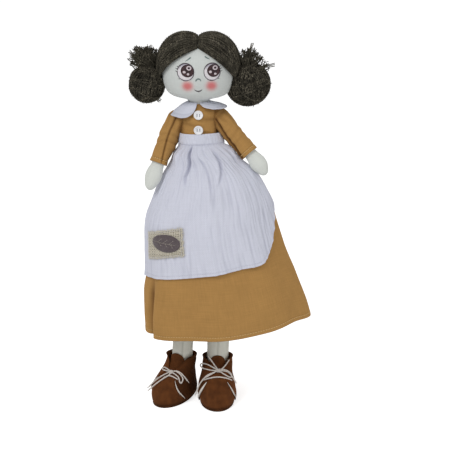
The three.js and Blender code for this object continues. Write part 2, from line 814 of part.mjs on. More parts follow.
// Legs: stuffed, round at the hip, with a foot that fills the boot
const bootStations = [
  [0, bootHalfWidth - 1.8, bootLength * 0.74, bootLength * 0.24],
  [4, bootHalfWidth, bootLength * 0.765, bootLength * 0.266],
  [11, bootHalfWidth + 0.5, bootLength * 0.775, bootLength * 0.274],
  [18, bootHalfWidth - 0.3, bootLength * 0.73, bootLength * 0.27],
  [24, bootHalfWidth - 2, bootLength * 0.6, bootLength * 0.258],
  [30, bootHalfWidth - 3.8, bootLength * 0.4, bootLength * 0.24],
  [36, ankleRadius + 0.4, ankleRadius + 2, ankleRadius + 0.3],
  [ankleHeight, ankleRadius, ankleRadius + 0.2, ankleRadius],
  [ankleHeight + 8, ankleRadius, ankleRadius + 0.2, ankleRadius],
];

function bootPoint(angle, height, out) {
  const [halfWidth, front, back] = between(bootStations, height);
  const length = (front + back) / 2 + out;
  const forward = Math.cos(angle);
  const taper = 1 + 0.08 * forward;
  const x = Math.sin(angle) * (halfWidth + out) * taper;
  return new THREE.Vector3(x, (back - front) / 2 - forward * length, height);
}

function bootRings(out, from, to, steps, sides = 24) {
  return spread(from, to, steps).map((height) => spread(0, Math.PI * 2, sides).slice(0, -1)
    .map((angle) => bootPoint(angle, height, out)));
}

function placeBoot(geometry, name) {
  const [x, y] = name === 'right' ? rightAnkle : leftAnkle;
  const turn = name === 'right' ? -rightToeOut : leftToeOut;
  return geometry.rotateZ(degrees(turn)).translate(x, y, 0);
}

function makeLeg(name, side) {
  const [ankleX, ankleY] = name === 'right' ? rightAnkle : leftAnkle;
  const hipX = side * hipPivotX;
  const spine = new THREE.CatmullRomCurve3([
    new THREE.Vector3(hipX, 0, hipPivotHeight + legRadius),
    new THREE.Vector3(hipX, 0, hipPivotHeight),
    new THREE.Vector3((hipX + ankleX) / 2, ankleY / 2, (hipPivotHeight + ankleHeight) / 2),
    new THREE.Vector3(ankleX, ankleY, ankleHeight),
    new THREE.Vector3(ankleX, ankleY, 14),
  ]);
  const length = spine.getLength();
  const stations = [
    ...roundEnd(0, legRadius),
    [length * 0.2, thighRadius, thighRadius],
    [length * 0.5, legRadius - 0.4, legRadius],
    [length * 0.66, legRadius + 0.3, legRadius + 0.6],
    [length, legRadius - 0.3, legRadius - 0.3],
  ];
  const shank = loft(limbRings(spine, stations, 14, 26));
  const insoleTop = soleThickness + clearance * 3 + insoleThickness;
  const inside = -(suedeThickness + clearance);
  const foot = placeBoot(loft(bootRings(inside - 0.3, insoleTop, 27, 5, 16)), name);
  const crotch = crotchTabHalfWidth + clearance * 2;
  const tabLow = hipPivotHeight - crotchTabHalfDepth - 4;
  return cut(
    join(shank, foot),
    block(-crotch, crotch, -30, 30, tabLow, seatHeight + 29),
    rodX(threadRadius + clearance, -60, 60, 0, hipPivotHeight, 8),
  );
}

// Boot: sole, insole, toe piece with its tongue, and a heel piece that laces over it
function makeSole(name) {
  return placeBoot(loft([
    ...bootRings(0.3, 0, soleThickness, 1, 28),
  ]), name);
}

function makeInsole(name) {
  const low = soleThickness + clearance;
  const outline = bootRings(-(suedeThickness + clearance * 2), low, low, 1, 24)[0];
  const raised = outline.map((point) => point.clone().setZ(low + insoleThickness));
  return placeBoot(loft([outline, raised]), name);
}

const seamY = -13.5;
const seamHeight = 30;
const slotHalfWidth = 4.6;

function bootShell() {
  const low = soleThickness + clearance;
  return wall(
    bootRings(0, low, ankleHeight, 7, 20),
    bootRings(-suedeThickness, low, ankleHeight, 7, 20),
  );
}

function makeToePiece(name) {
  const behind = block(-60, 60, seamY - clearance / 2, 60, -5, 80);
  const above = block(-60, 60, -80, 60, seamHeight, 80);
  return placeBoot(cut(bootShell(), behind, above), name);
}

function makeHeelPiece(name) {
  const ahead = block(-60, 60, -80, seamY + clearance / 2, -5, seamHeight + clearance);
  const slot = block(-slotHalfWidth, slotHalfWidth, -60, -4, 20, 80);
  return placeBoot(cut(bootShell(), ahead, slot), name);
}

const tongueLow = 27.8;

function makeTongue(name) {
  const out = -(suedeThickness + clearance + 0.15);
  const grid = (extra) => spread(tongueLow, tongueHeight, 6).map((height) => {
    const share = (height - tongueLow) / (tongueHeight - tongueLow);
    const half = degrees(33) * Math.sqrt(Math.max(1 - 0.9 * share ** 4, 0));
    return spread(-half, half, 4).map((angle) => bootPoint(angle, height, out - extra));
  });
  return placeBoot(outwardCopy(slab(grid(0), grid(0.9))), name);
}

// Laces: one thread each, tied in a bow over the slot; points are side, height, stand-off
const laceRoutes = {
  right: {
    knot: [0, 32.5],
    loops: [
      [[-6, 34, 1.8], [-13, 36, 3.2], [-12, 32.5, 2.8], [-5, 30.5, 1.7]],
      [[5, 31, 1.8], [11, 26, 2.6], [12.5, 21, 3.2], [10, 22, 3], [5, 27.5, 2]],
    ],
    ends: [
      [[-8, 27, 2], [-17, 21, 3], [-23, 14, 6]],
      [[8, 29.5, 2], [14, 25, 2.4], [19, 21, 4]],
    ],
  },
  left: {
    knot: [0, 32.5],
    loops: [
      [[-6, 33, 1.8], [-14, 35.5, 3.2], [-13.5, 31.5, 2.8], [-5, 29.8, 1.7]],
      [[6, 30.5, 1.8], [13, 28.5, 2.6], [14, 25, 3.2], [6, 28, 1.9]],
    ],
    ends: [
      [[-8, 27, 2], [-14, 22, 3], [-18.5, 15, 5]],
      [[7, 29, 1.9], [13.5, 26, 2.4], [18.5, 20, 4]],
    ],
  },
};

function lacePoint([x, height, out]) {
  const [halfWidth] = between(bootStations, height);
  const angle = Math.asin(THREE.MathUtils.clamp(x / (halfWidth * 1.06 + out), -0.97, 0.97));
  const point = bootPoint(angle, height, out);
  const beyond = x - point.x;
  return [point.x + beyond, point.y, point.z];
}

function makeLace(name) {
  const { knot, loops, ends } = laceRoutes[name];
  const middle = lacePoint([...knot, 3]);
  const strands = [
    ...loops.map((loop) => tube([middle, ...loop.map(lacePoint), middle], laceRadius, 10, 5)),
    ...ends.map((end) => tube([middle, ...end.map(lacePoint)], laceRadius, 5, 5)),
  ];
  const eyelet = (x, height) => lacePoint([x, height, height < seamHeight ? 3.4 : 1.7]);
  const crossed = [[eyeletLow, eyeletHigh], [eyeletHigh, eyeletLow]];
  const cross = crossed.map(([first, second]) => {
    const route = [eyelet(-eyeletX, first), middle, eyelet(eyeletX, second)];
    return tube(route, laceRadius, 6, 5);
  });
  const bow = ellipsoid(middle, [2, 1.5, 1.7], 8, 5);
  return placeBoot(join(bow, ...strands, ...cross), name);
}

// Assembly
add('torso_body', makeTorso(), skin);
add('neck_dowel', rodZ(dowelRadius, dowelBottomHeight, dowelTopHeight, 0, 0, 16), woodLook);
add('bodice_front', makeBodice(-1), mustard);
add('bodice_back', makeBodice(1), mustard);
add('skirt', makeSkirt(), mustard);
add('button_upper', makeButton(upperButtonHeight), shirtButton);
add('button_lower', makeButton(lowerButtonHeight), shirtButton);
add('apron', makeApron(), gauze);
add('apron_waistband', makeWaistband(), gauze);
add('apron_bow_knot', makeKnot(), gauze);
add('patch', makePatch(), burlap);
add('patch_leaf', makeLeaf(), felt);
add('head', makeHead(), skin);

const threadEnd = armholeX + clearance + 7.4;
const hipButtonX = hipPivotX + legRadius + clearance;
add('shoulder_thread', rodX(threadRadius, -threadEnd, threadEnd, 0, shoulderPivotHeight, 8), white);
add('hip_thread', rodX(threadRadius, -hipButtonX + 0.6, hipButtonX - 0.6, 0, hipPivotHeight, 8), white);

[['right', -1], ['left', 1]].forEach(([name, side]) => {
  add(`hair_${name}`, makeHair(side), yarn);
  add(`bun_${name}`, makeBun(side), yarn);
  add(`collar_${name}`, makeCollar(side), white);
  add(`arm_${name}`, makeArm(name, side), skin);
  add(`sleeve_${name}`, makeSleeve(name, side), mustard);
  add(`shoulder_button_${name}`, makeJointButton(side, threadEnd + 0.6, shoulderPivotHeight), white);
  add(`apron_bow_loop_${name}`, makeBowLoop(side), gauze);
  add(`apron_tie_${name}`, makeBowTail(side), gauze);
  add(`leg_${name}`, makeLeg(name, side), skin);
  add(`hip_button_${name}`, makeJointButton(side, hipButtonX, hipPivotHeight), white);
  add(`boot_sole_${name}`, makeSole(name), darkSuede);
  add(`boot_insole_${name}`, makeInsole(name), cardboardLook);
  add(`boot_toe_${name}`, makeToePiece(name), suede);
  add(`boot_heel_${name}`, makeHeelPiece(name), suede);
  add(`boot_tongue_${name}`, makeTongue(name), suede);
  add(`boot_lace_${name}`, makeLace(name), laceCotton);
});
add('bun_tuft_right', makeTuft(-1, [-12, -1, 31], 15), yarn);
add('bun_tuft_left_top', makeTuft(1, [3, -1, 37], 14), yarn);
add('bun_tuft_left_side', makeTuft(1, [22, -1, 18], 9), yarn);

// The origin is under the middle of the whole doll
const bounds = new THREE.Box3().setFromObject(pieces);
const middle = bounds.getCenter(new THREE.Vector3());
pieces.position.set(-middle.x, -middle.y, -bounds.min.z);

export default pieces;
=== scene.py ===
"""A jointed textile doll: yarn hair, mustard cotton dress, crinkled gauze apron and laced suede boots."""
import math
import bmesh
import bpy
import numpy as np
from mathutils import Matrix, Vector, noise


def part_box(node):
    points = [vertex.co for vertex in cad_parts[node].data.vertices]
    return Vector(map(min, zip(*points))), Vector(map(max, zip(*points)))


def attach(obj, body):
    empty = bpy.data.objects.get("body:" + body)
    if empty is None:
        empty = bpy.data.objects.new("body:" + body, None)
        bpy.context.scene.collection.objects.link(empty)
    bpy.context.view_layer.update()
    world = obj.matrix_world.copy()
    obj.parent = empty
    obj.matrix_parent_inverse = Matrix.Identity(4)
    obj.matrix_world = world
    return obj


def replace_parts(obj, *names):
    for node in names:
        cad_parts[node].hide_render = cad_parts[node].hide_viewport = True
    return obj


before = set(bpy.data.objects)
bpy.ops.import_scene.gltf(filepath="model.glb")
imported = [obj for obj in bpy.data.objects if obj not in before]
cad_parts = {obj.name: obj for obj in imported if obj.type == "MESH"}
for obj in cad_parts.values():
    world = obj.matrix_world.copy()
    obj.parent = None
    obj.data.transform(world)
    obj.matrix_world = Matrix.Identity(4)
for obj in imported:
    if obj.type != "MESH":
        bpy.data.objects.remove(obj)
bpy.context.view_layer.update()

MM = 0.001
dowel_low, dowel_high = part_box("neck_dowel")
AXIS = np.array([(dowel_low.x + dowel_high.x) / 2, (dowel_low.y + dowel_high.y) / 2, 0.0])
TURN = 2 * math.pi
ODD_DIRECTION = (0.31, 0.17, 0.93)
chance = np.random.default_rng(7)


# Small tools; shapes are written in millimetres from the doll's own upright axis
def metres(points):
    return np.asarray(points, float) * MM + AXIS


def smoothstep(value, low, high):
    share = np.clip((np.asarray(value, float) - low) / (high - low), 0, 1)
    return share * share * (3 - 2 * share)


def bump(value, middle, width):
    return np.exp(-(((np.asarray(value, float) - middle) / width) ** 2))


def unit(vectors):
    """The same directions at length 1."""
    vectors = np.asarray(vectors, float)
    return vectors / np.maximum(np.linalg.norm(vectors, axis=-1, keepdims=True), 1e-9)


def ring_angles(count):
    return np.linspace(0, TURN, count, endpoint=False)


def mesh_grid(rows, columns):
    return np.meshgrid(rows, columns, indexing="ij")


def travel(path):
    """How far along a path each of its points lies."""
    return np.concatenate([[0], np.cumsum(np.linalg.norm(np.diff(path, axis=0), axis=1))])


def ball_grid(rows, columns, from_pole):
    """Unit directions over a ball, with their angles from the top and around."""
    down, around = mesh_grid(np.linspace(from_pole, math.pi - from_pole, rows), ring_angles(columns))
    ball = np.stack([np.sin(down) * np.sin(around), np.sin(down) * np.cos(around), np.cos(down)], axis=-1)
    return ball, down, around


def away(centre, scale=(1, 1, 1)):
    """A rule that gives the unit direction from a centre to each point of a path."""
    return lambda path: unit((path - np.asarray(centre)) * scale)


def worn(piece, body, node=None):
    """A piece that rides on a body, in place of a solid where one is named."""
    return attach(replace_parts(piece, node) if node else piece, body)


def between(stations, places):
    """Smooth values between stations [place, value, ...]; places may be an array."""
    table = np.asarray(stations, float)
    if table[0, 0] > table[-1, 0]:
        table = table[::-1]
    places = np.asarray(places, float)
    knots = table[:, 0]
    index = np.clip(np.searchsorted(knots, places, side="right") - 1, 0, len(knots) - 2)
    before, after = np.maximum(index - 1, 0), np.minimum(index + 2, len(knots) - 1)
    span = knots[index + 1] - knots[index]
    share = np.clip((places - knots[index]) / span, 0, 1)
    values = []
    for column in range(1, table.shape[1]):
        v = table[:, column]
        start = (v[index + 1] - v[before]) / (knots[index + 1] - knots[before]) * span
        end = (v[after] - v[index]) / (knots[after] - knots[index]) * span
        cubic = 2 * v[index] - 2 * v[index + 1] + start + end
        square = -3 * v[index] + 3 * v[index + 1] - 2 * start - end
        values.append(((cubic * share + square) * share + start) * share + v[index])
    return values if len(values) > 1 else values[0]


def smooth_path(points, spacing):
    """Points along a smooth curve through the given ones, evenly spaced."""
    points = np.asarray(points, float)
    chords = np.maximum(np.linalg.norm(np.diff(points, axis=0), axis=1), 1e-6)
    knots = np.concatenate([[0], np.cumsum(np.sqrt(chords))])
    table = np.column_stack([knots, points])
    fine = np.column_stack(between(table, np.linspace(0, knots[-1], 16 * len(points))))
    travelled = travel(fine)
    count = max(int(travelled[-1] / spacing), 2) + 1
    wanted = np.linspace(0, travelled[-1], count)
    return np.column_stack([np.interp(wanted, travelled, fine[:, k]) for k in range(3)])


def lumps(points, size, seed):
    """Smooth noise from -1 to 1 at each point, with features of the given size."""
    flat = np.asarray(points, float).reshape(-1, 3) / size + seed
    values = np.array([noise.noise(Vector(p)) for p in flat.tolist()])
    return values.reshape(np.asarray(points).shape[:-1])


def mesh_piece(name, points, faces, look, along=None, strand=None):
    """A mesh object; along holds a place in the cloth, in mm, for each face corner."""
    mesh = bpy.data.meshes.new(name)
    points = metres(points)
    faces = [np.asarray(block, np.int64) for block in faces]
    sizes = np.concatenate([np.full(len(block), block.shape[1]) for block in faces])
    corners = np.concatenate([block.reshape(-1) for block in faces])
    mesh.vertices.add(len(points))
    mesh.vertices.foreach_set("co", points.astype(np.float32).reshape(-1))
    mesh.loops.add(len(corners))
    mesh.loops.foreach_set("vertex_index", corners.astype(np.int32))
    mesh.polygons.add(len(sizes))
    starts = np.concatenate([[0], np.cumsum(sizes)[:-1]])
    mesh.polygons.foreach_set("loop_start", starts.astype(np.int32))
    if along is not None:
        layer = mesh.uv_layers.new(name="cloth")
        layer.data.foreach_set("uv", (np.concatenate(along) * MM).astype(np.float32).reshape(-1))
    if strand is not None:
        tint = mesh.attributes.new("strand", "FLOAT", "POINT")
        tint.data.foreach_set("value", np.asarray(strand, np.float32))
    mesh.update(calc_edges=True)
    mesh.validate()
    mesh.shade_smooth()
    mesh.materials.append(look)
    made = bpy.data.objects.new(name, mesh)
    bpy.context.scene.collection.objects.link(made)
    return made


def turned_out(made):
    """Faces of a closed mesh all look outward."""
    work = bmesh.new()
    work.from_mesh(made.data)
    bmesh.ops.recalc_face_normals(work, faces=work.faces)
    work.to_mesh(made.data)
    work.free()
    return made


def applied(made):
    """Modifiers become part of the mesh."""
    view = bpy.context.evaluated_depsgraph_get()
    mesh = bpy.data.meshes.new_from_object(made.evaluated_get(view))
    made.modifiers.clear()
    made.data = mesh
    return made


def thicken(made, thickness, offset=-1.0):
    """Cloth gets its thickness: inward at offset -1, to both sides at 0."""
    shell = made.modifiers.new("shell", "SOLIDIFY")
    shell.thickness = thickness * MM
    shell.offset = offset
    shell.use_even_offset = True
    shell.use_quality_normals = True
    return applied(made)


def grid_faces(rows, columns, closed, start=0):
    """Quads over a grid of points, and the grid column of each corner without wrapping."""
    last = columns if closed else columns - 1
    row, column = [table.reshape(-1) for table in mesh_grid(np.arange(rows - 1), np.arange(last))]
    following = (column + 1) % columns
    quads = np.column_stack([
        row * columns + column, row * columns + following,
        (row + 1) * columns + following, (row + 1) * columns + column,
    ]) + start
    places = np.stack([
        np.column_stack([row, column]), np.column_stack([row, column + 1]),
        np.column_stack([row + 1, column + 1]), np.column_stack([row + 1, column]),
    ], axis=1)
    return quads, places.reshape(-1, 2)


def sheet_piece(name, points, look, closed=False, caps=()):
    """A mesh over a grid of points. caps names the ends, 0 and -1, that get a fan."""
    points = np.asarray(points, float)
    rows, columns = points.shape[:2]
    ring = points if not closed else np.concatenate([points, points[:, :1]], axis=1)
    steps = np.linalg.norm(np.diff(ring, axis=1), axis=2).mean(axis=0)
    across = np.concatenate([[0], np.cumsum(steps)])
    steps = np.linalg.norm(np.diff(ring, axis=0), axis=2).mean(axis=1)
    down = np.concatenate([[0], np.cumsum(steps)])
    quads, places = grid_faces(rows, columns, closed)
    along = [np.column_stack([across[places[:, 1]], down[places[:, 0]]])]
    vertices, faces = [points.reshape(-1, 3)], [quads]
    count = rows * columns
    for end in caps:
        rim = np.arange(columns) + (0 if end == 0 else (rows - 1) * columns)
        vertices.append(points[end].mean(axis=0)[None])
        turned = np.roll(rim, -1)
        fan = [turned, rim] if end == 0 else [rim, turned]
        faces.append(np.column_stack([*fan, np.full(columns, count)]))
        spokes = np.stack([np.column_stack([across[:-1], np.full(columns, down[end])])] * 3, axis=1)
        along.append(spokes.reshape(-1, 2))
        count += 1
    return mesh_piece(name, np.concatenate(vertices), faces, look, along)


def add_shade(piece, values):
    """How much painted shade each vertex takes in a fold, seam or gap, from 0 to 1, before the cloth gets its
    thickness.
    """
    layer = piece.data.attributes.new("shade", "FLOAT", "POINT")
    full = np.zeros(len(piece.data.vertices), np.float32)
    full[:values.size] = np.clip(values, 0, 1).reshape(-1)
    layer.data.foreach_set("value", full)


def face_front(piece, inside):
    """Faces look away from a point inside the form, given in millimetres."""
    centre = metres([inside])[0]
    total = 0.0
    for polygon in piece.data.polygons:
        offset = np.array(polygon.center) - centre
        total += offset.dot(np.array(polygon.normal)) * polygon.area
    if total < 0:
        piece.data.flip_normals()


def closed_piece(name, points, look, shade=None, caps=(0, -1)):
    """A closed form over rings of points."""
    piece = sheet_piece(name, points, look, True, caps)
    if shade is not None:
        add_shade(piece, shade)
    return turned_out(piece)


def cloth_piece(name, points, look, inside, thickness, shade=None, **ends):
    """Cloth over a grid of points, thickened towards a point inside the form."""
    piece = sheet_piece(name, points, look, **ends)
    if shade is not None:
        add_shade(piece, shade)
    face_front(piece, inside)
    return thicken(piece, thickness)


def frames_along(path):
    """Two unit directions across a path, at each of its points, that don't twist."""
    tangents = unit(np.gradient(path, axis=0))
    side = unit(np.cross(tangents[0], ODD_DIRECTION))
    sides = []
    for tangent in tangents:
        side = unit(side - tangent * side.dot(tangent))
        sides.append(side)
    sides = np.array(sides)
    return sides, np.cross(tangents, sides)


class Strands:
    """Many yarns, threads or fibres gathered into one mesh."""

    def __init__(self):
        self.points, self.faces, self.along, self.strand, self.count = [], [], [], [], 0

    def lay(self, path, radius, sides=6, ply=0.0, pitch=4.5, closed=False, tint=None):
        """One strand along a path. ply from 0 to 1 gives it two twisted plies."""
        path = np.asarray(path, float)
        rows = len(path)
        sideways, upward = frames_along(path)
        travelled = travel(path)
        radius = np.broadcast_to(np.asarray(radius, float), (rows,))
        angles = np.arange(sides) / sides * TURN
        turn = travelled / pitch * TURN if ply else np.zeros(rows)
        facing = angles[None] + turn[:, None]
        lobe = 1 - ply * (1 - np.cos(angles) ** 2)
        reach = radius[:, None] * lobe[None]
        a, b = reach * np.cos(facing), reach * np.sin(facing)
        ring = path[:, None] + a[..., None] * sideways[:, None] + b[..., None] * upward[:, None]
        quads, places = grid_faces(rows, sides, True, self.count)
        if closed:
            last = self.count + (rows - 1) * sides + np.arange(sides)
            first = self.count + np.arange(sides)
            turned = np.column_stack([last, np.roll(last, -1), np.roll(first, -1), first])
            quads = np.concatenate([quads, turned])
            extra = np.stack([np.column_stack([np.full(sides, rows - 1), np.arange(sides)])] * 4, axis=1)
            places = np.concatenate([places, extra.reshape(-1, 2)])
        self.points.append(ring.reshape(-1, 3))
        self.faces.append(quads)
        girth = TURN * radius.mean() / sides
        self.along.append(np.column_stack([places[:, 1] * girth, travelled[places[:, 0]]]))
        made = rows * sides
        if not closed:
            self.points.append(path[[0, -1]])
            for end, rim, order in ((0, 0, -1), (1, made - sides, 1)):
                edge = self.count + rim + np.arange(sides)[::order]
                tip = np.full(sides, self.count + made + end)
                self.faces.append(np.column_stack([edge, np.roll(edge, -1), tip]))
                self.along.append(np.tile([0.0, travelled[-end]], (sides * 3, 1)))
            made += 2
        self.strand.append(np.full(made, chance.random() if tint is None else tint))
        self.count += made
        return self

    def done(self, name, look):
        points, strand = np.concatenate(self.points), np.concatenate(self.strand)
        return mesh_piece(name, points, self.faces, look, self.along, strand)


# Materials
def linear(red, green, blue):
    """A colour as seen on screen, 0 to 255, to the renderer's own numbers."""
    def one(value):
        value /= 255
        return value / 12.92 if value <= 0.04045 else ((value + 0.055) / 1.055) ** 2.4
    return (one(red), one(green), one(blue), 1.0)


class Shader:
    """Short words for building the nodes of a material or world."""

    def __init__(self, name, kind="materials"):
        self.owner = getattr(bpy.data, kind).new(name)
        self.owner.use_nodes = True
        self.tree = self.owner.node_tree
        self.tree.nodes.clear()

    def node(self, kind, settings=None, **sockets):
        """A node; i0, i1 and so on are its inputs by number, other words are their names."""
        made = self.tree.nodes.new("ShaderNode" + kind)
        for key, value in (settings or {}).items():
            setattr(made, key, value)
        for key, value in sockets.items():
            if value is None:
                continue
            numbered = key[0] == "i" and key[1:].isdigit()
            socket = made.inputs[int(key[1:]) if numbered else key.replace("_", " ")]
            if isinstance(value, bpy.types.NodeSocket):
                self.tree.links.new(value, socket)
            else:
                socket.default_value = value
        return made

    def math(self, operation, a, b=0.0, c=0.0):
        return self.node("Math", {"operation": operation}, i0=a, i1=b, i2=c).outputs[0]

    def vector(self, operation, a, b=None, scale=None):
        settings = {"operation": operation}
        return self.node("VectorMath", settings, i0=a, i1=b, Scale=scale).outputs

    def mix(self, share, a, b):
        return self.node("Mix", {"data_type": "RGBA"}, i0=share, i6=a, i7=b).outputs[2]

    def cloth_place(self):
        """Place in the cloth, in millimetres."""
        place = self.node("UVMap", {"uv_map": "cloth"}).outputs[0]
        return self.vector("SCALE", place, scale=1 / MM)[0]

    def solid_place(self):
        """Place in the object, in millimetres."""
        place = self.node("TexCoord").outputs["Object"]
        return self.vector("SCALE", place, scale=1 / MM)[0]

    def noise(self, place, size, detail=2.0, roughness=0.5, stretch=(1, 1, 1)):
        place = self.vector("MULTIPLY", place, stretch)[0]
        made = self.node("TexNoise", Vector=place, Scale=1 / size, Detail=detail, Roughness=roughness)
        return made.outputs[0]

    def ramp(self, value, low, high):
        settings = {"interpolation_type": "SMOOTHSTEP"}
        return self.node("MapRange", settings, Value=value, i1=low, i2=high).outputs[0]

    def varied(self, source, share, base=1.0):
        """Base plus a share of how far a source from 0 to 1 is from its middle."""
        return self.math("MULTIPLY_ADD", self.math("SUBTRACT", source, 0.5), share, base)

    def attribute(self, name):
        return self.node("Attribute", {"attribute_name": name}).outputs["Fac"]

    def bump(self, height, depth, below=None):
        """Relief of the given depth in millimetres for heights from 0 to 1."""
        sockets = {"Height": height, "Distance": depth * MM, "Strength": 1.0, "Normal": below}
        return self.node("Bump", **sockets).outputs[0]

    def finish(self, colour, roughness, normal, **constants):
        sockets = {"Base_Color": colour, "Roughness": roughness, "Normal": normal}
        surface = self.node("BsdfPrincipled", **sockets, **constants)
        self.node("OutputMaterial", Surface=surface.outputs[0])
        return self.owner


def scaled(colour, share):
    return tuple(min(value * share, 1.0) for value in colour[:3]) + (1.0,)


def weave(shader, place, pitch):
    """Height of a plain weave with the given thread pitch."""
    parts = shader.node("SeparateXYZ", i0=place).outputs
    wobble = shader.math("MULTIPLY", shader.noise(place, pitch * 9), 1.2)
    warp = shader.math("SINE", shader.math("MULTIPLY_ADD", parts[0], TURN / 2 / pitch, wobble))
    weft = shader.math("SINE", shader.math("MULTIPLY_ADD", parts[1], TURN / 2 / pitch, wobble))
    return shader.math("MULTIPLY_ADD", shader.math("MULTIPLY", warp, weft), 0.5, 0.5)


def slubs(shader, place, size):
    """Thick and thin threads both ways, from 0 to 2."""
    ways = [shader.noise(place, size, 2, 0.55, stretch) for stretch in ((1, 0.06, 1), (0.06, 1, 1))]
    return shader.math("ADD", *ways)


def cloth_look(name, colour, pitch, depth, slub, mottle, sheen, crinkle=0.0, dark=None):
    """Woven cotton; dark is the colour of the painted shade it takes in seams and folds."""
    s = Shader(name)
    place, body = s.cloth_place(), s.solid_place()
    height, threads = weave(s, place, pitch), slubs(s, place, pitch * 1.6)
    spread = s.math("MULTIPLY_ADD", s.math("SUBTRACT", threads, 1.0), slub * 2, 1.0)
    spread = s.varied(s.noise(body, 17, 3, 0.55), mottle * 2, spread)
    # a little painted shade and light: darker where the weave sinks, lighter where it rises
    spread = s.varied(height, 0.1, spread)
    tone = s.vector("SCALE", colour[:3], scale=spread)[0]
    # painted shade in folds, seams and gaps, by the shade attribute
    dark = dark or scaled(colour, 0.28)
    tone = s.mix(s.attribute("shade"), tone, dark)
    relief = s.math("MULTIPLY_ADD", threads, 0.6, height)
    normal = s.bump(relief, depth)
    if crinkle:
        folds = s.noise(place, 3.4, 3, 0.6, (1, 0.16, 1))
        dimples = s.noise(place, 1.7, 2, 0.5, (1, 0.5, 1))
        normal = s.bump(s.math("MULTIPLY_ADD", dimples, 0.5, folds), crinkle, normal)
    return s.finish(tone, 0.92, normal, Sheen_Weight=sheen, Sheen_Roughness=0.5,
                    Sheen_Tint=scaled(colour, 1.3), Specular_IOR_Level=0.2)


def yarn_look(name, colour, light, hollow_shade):
    """Wool yarn with light flecks and dark hollows of painted shade."""
    s = Shader(name)
    place, body = s.cloth_place(), s.solid_place()
    own = s.attribute("strand")
    flecks = s.noise(place, 1.5, 3, 0.65, (1.6, 0.5, 1))
    patches = s.noise(body, 7, 2, 0.5)
    tone = s.mix(s.ramp(own, 0.05, 0.95), scaled(colour, 0.42), scaled(colour, 1.65))
    flecked = s.math("MULTIPLY", s.ramp(flecks, 0.48, 0.62), s.ramp(patches, 0.25, 0.6))
    tone = s.mix(flecked, tone, light)
    # painted shade: near-black hollows where the fleck noise is low
    tone = s.mix(s.math("MULTIPLY", s.ramp(flecks, 0.4, 0.28), 0.7), tone, hollow_shade)
    fibres = s.noise(place, 0.42, 3, 0.7, (1, 0.3, 1))
    return s.finish(tone, 0.9, s.bump(fibres, 0.22), Sheen_Weight=0.2, Sheen_Roughness=0.6,
                    Sheen_Tint=scaled(light, 1.5), Specular_IOR_Level=0.15)


def suede_look(name, colour, dark, rubbed):
    """Brushed suede, lighter where it is rubbed."""
    s = Shader(name)
    body = s.solid_place()
    nap = s.noise(body, 0.55, 4, 0.7)
    brushed = s.noise(body, 6.5, 2, 0.5, (1, 0.8, 0.7))
    patches = s.noise(body, 19, 2, 0.5)
    tone = s.mix(s.ramp(brushed, 0.25, 0.75), dark, colour)
    tone = s.mix(s.math("MULTIPLY", s.ramp(patches, 0.5, 0.75), 0.55), tone, rubbed)
    tone = s.mix(s.math("MULTIPLY", s.ramp(nap, 0.45, 0.7), 0.25), tone, rubbed)
    # painted shade by the shade attribute, at the sole, the edges and the inner flanks
    tone = s.mix(s.attribute("shade"), tone, scaled(dark, 0.35))
    normal = s.bump(nap, 0.12, s.bump(brushed, 0.25))
    return s.finish(tone, 0.95, normal, Sheen_Weight=0.35, Sheen_Roughness=0.45,
                    Sheen_Tint=scaled(rubbed, 1.6), Specular_IOR_Level=0.12)


def thread_look(name, colour, depth=0.12):
    """Twisted thread or cord, with painted shade in the grooves of its twist."""
    s = Shader(name)
    place = s.cloth_place()
    parts = s.node("SeparateXYZ", i0=place).outputs
    around = s.math("MULTIPLY", parts[0], TURN / 1.4)
    twist = s.math("SINE", s.math("MULTIPLY_ADD", parts[1], TURN / 1.6, around))
    fibres = s.noise(place, 0.3, 2, 0.6, (1, 0.3, 1))
    # painted shade: darker where the twist sinks
    tone = s.mix(s.ramp(twist, -1, 0.8), scaled(colour, 0.72), colour)
    tone = s.mix(s.math("MULTIPLY", s.ramp(fibres, 0.55, 0.7), 0.3), tone, scaled(colour, 1.2))
    tone = s.mix(s.math("MULTIPLY", s.attribute("strand"), 0.25), tone, scaled(colour, 0.7))
    normal = s.bump(s.math("MULTIPLY_ADD", fibres, 0.5, twist), depth)
    return s.finish(tone, 0.85, normal, Sheen_Weight=0.2, Specular_IOR_Level=0.25)


def felt_look(name, colour, light):
    """Matted felt with light fibres."""
    s = Shader(name)
    body = s.solid_place()
    fibres = s.noise(body, 0.7, 5, 0.75)
    matted = s.noise(body, 2.6, 4, 0.65)
    tone = s.mix(s.ramp(fibres, 0.42, 0.66), colour, light)
    tone = s.mix(s.math("MULTIPLY", s.ramp(matted, 0.5, 0.7), 0.5), tone, scaled(colour, 0.65))
    normal = s.bump(s.math("ADD", fibres, matted), 0.3)
    return s.finish(tone, 0.97, normal, Sheen_Weight=0.4, Sheen_Roughness=0.6, Specular_IOR_Level=0.1)


def plain_look(name, colour, roughness, grain_size, grain, stretch=(1, 1, 1), **constants):
    """Wood, board or plastic: a base colour with streaks or specks in it."""
    s = Shader(name)
    body = s.solid_place()
    streaks = s.noise(body, grain_size, 4, 0.6, stretch)
    tone = s.mix(s.ramp(streaks, 0.3, 0.7), scaled(colour, 1 - grain), scaled(colour, 1 + grain * 0.5))
    rough = s.math("MULTIPLY_ADD", streaks, 0.15, roughness - 0.07)
    return s.finish(tone, rough, s.bump(streaks, 0.03), **constants)


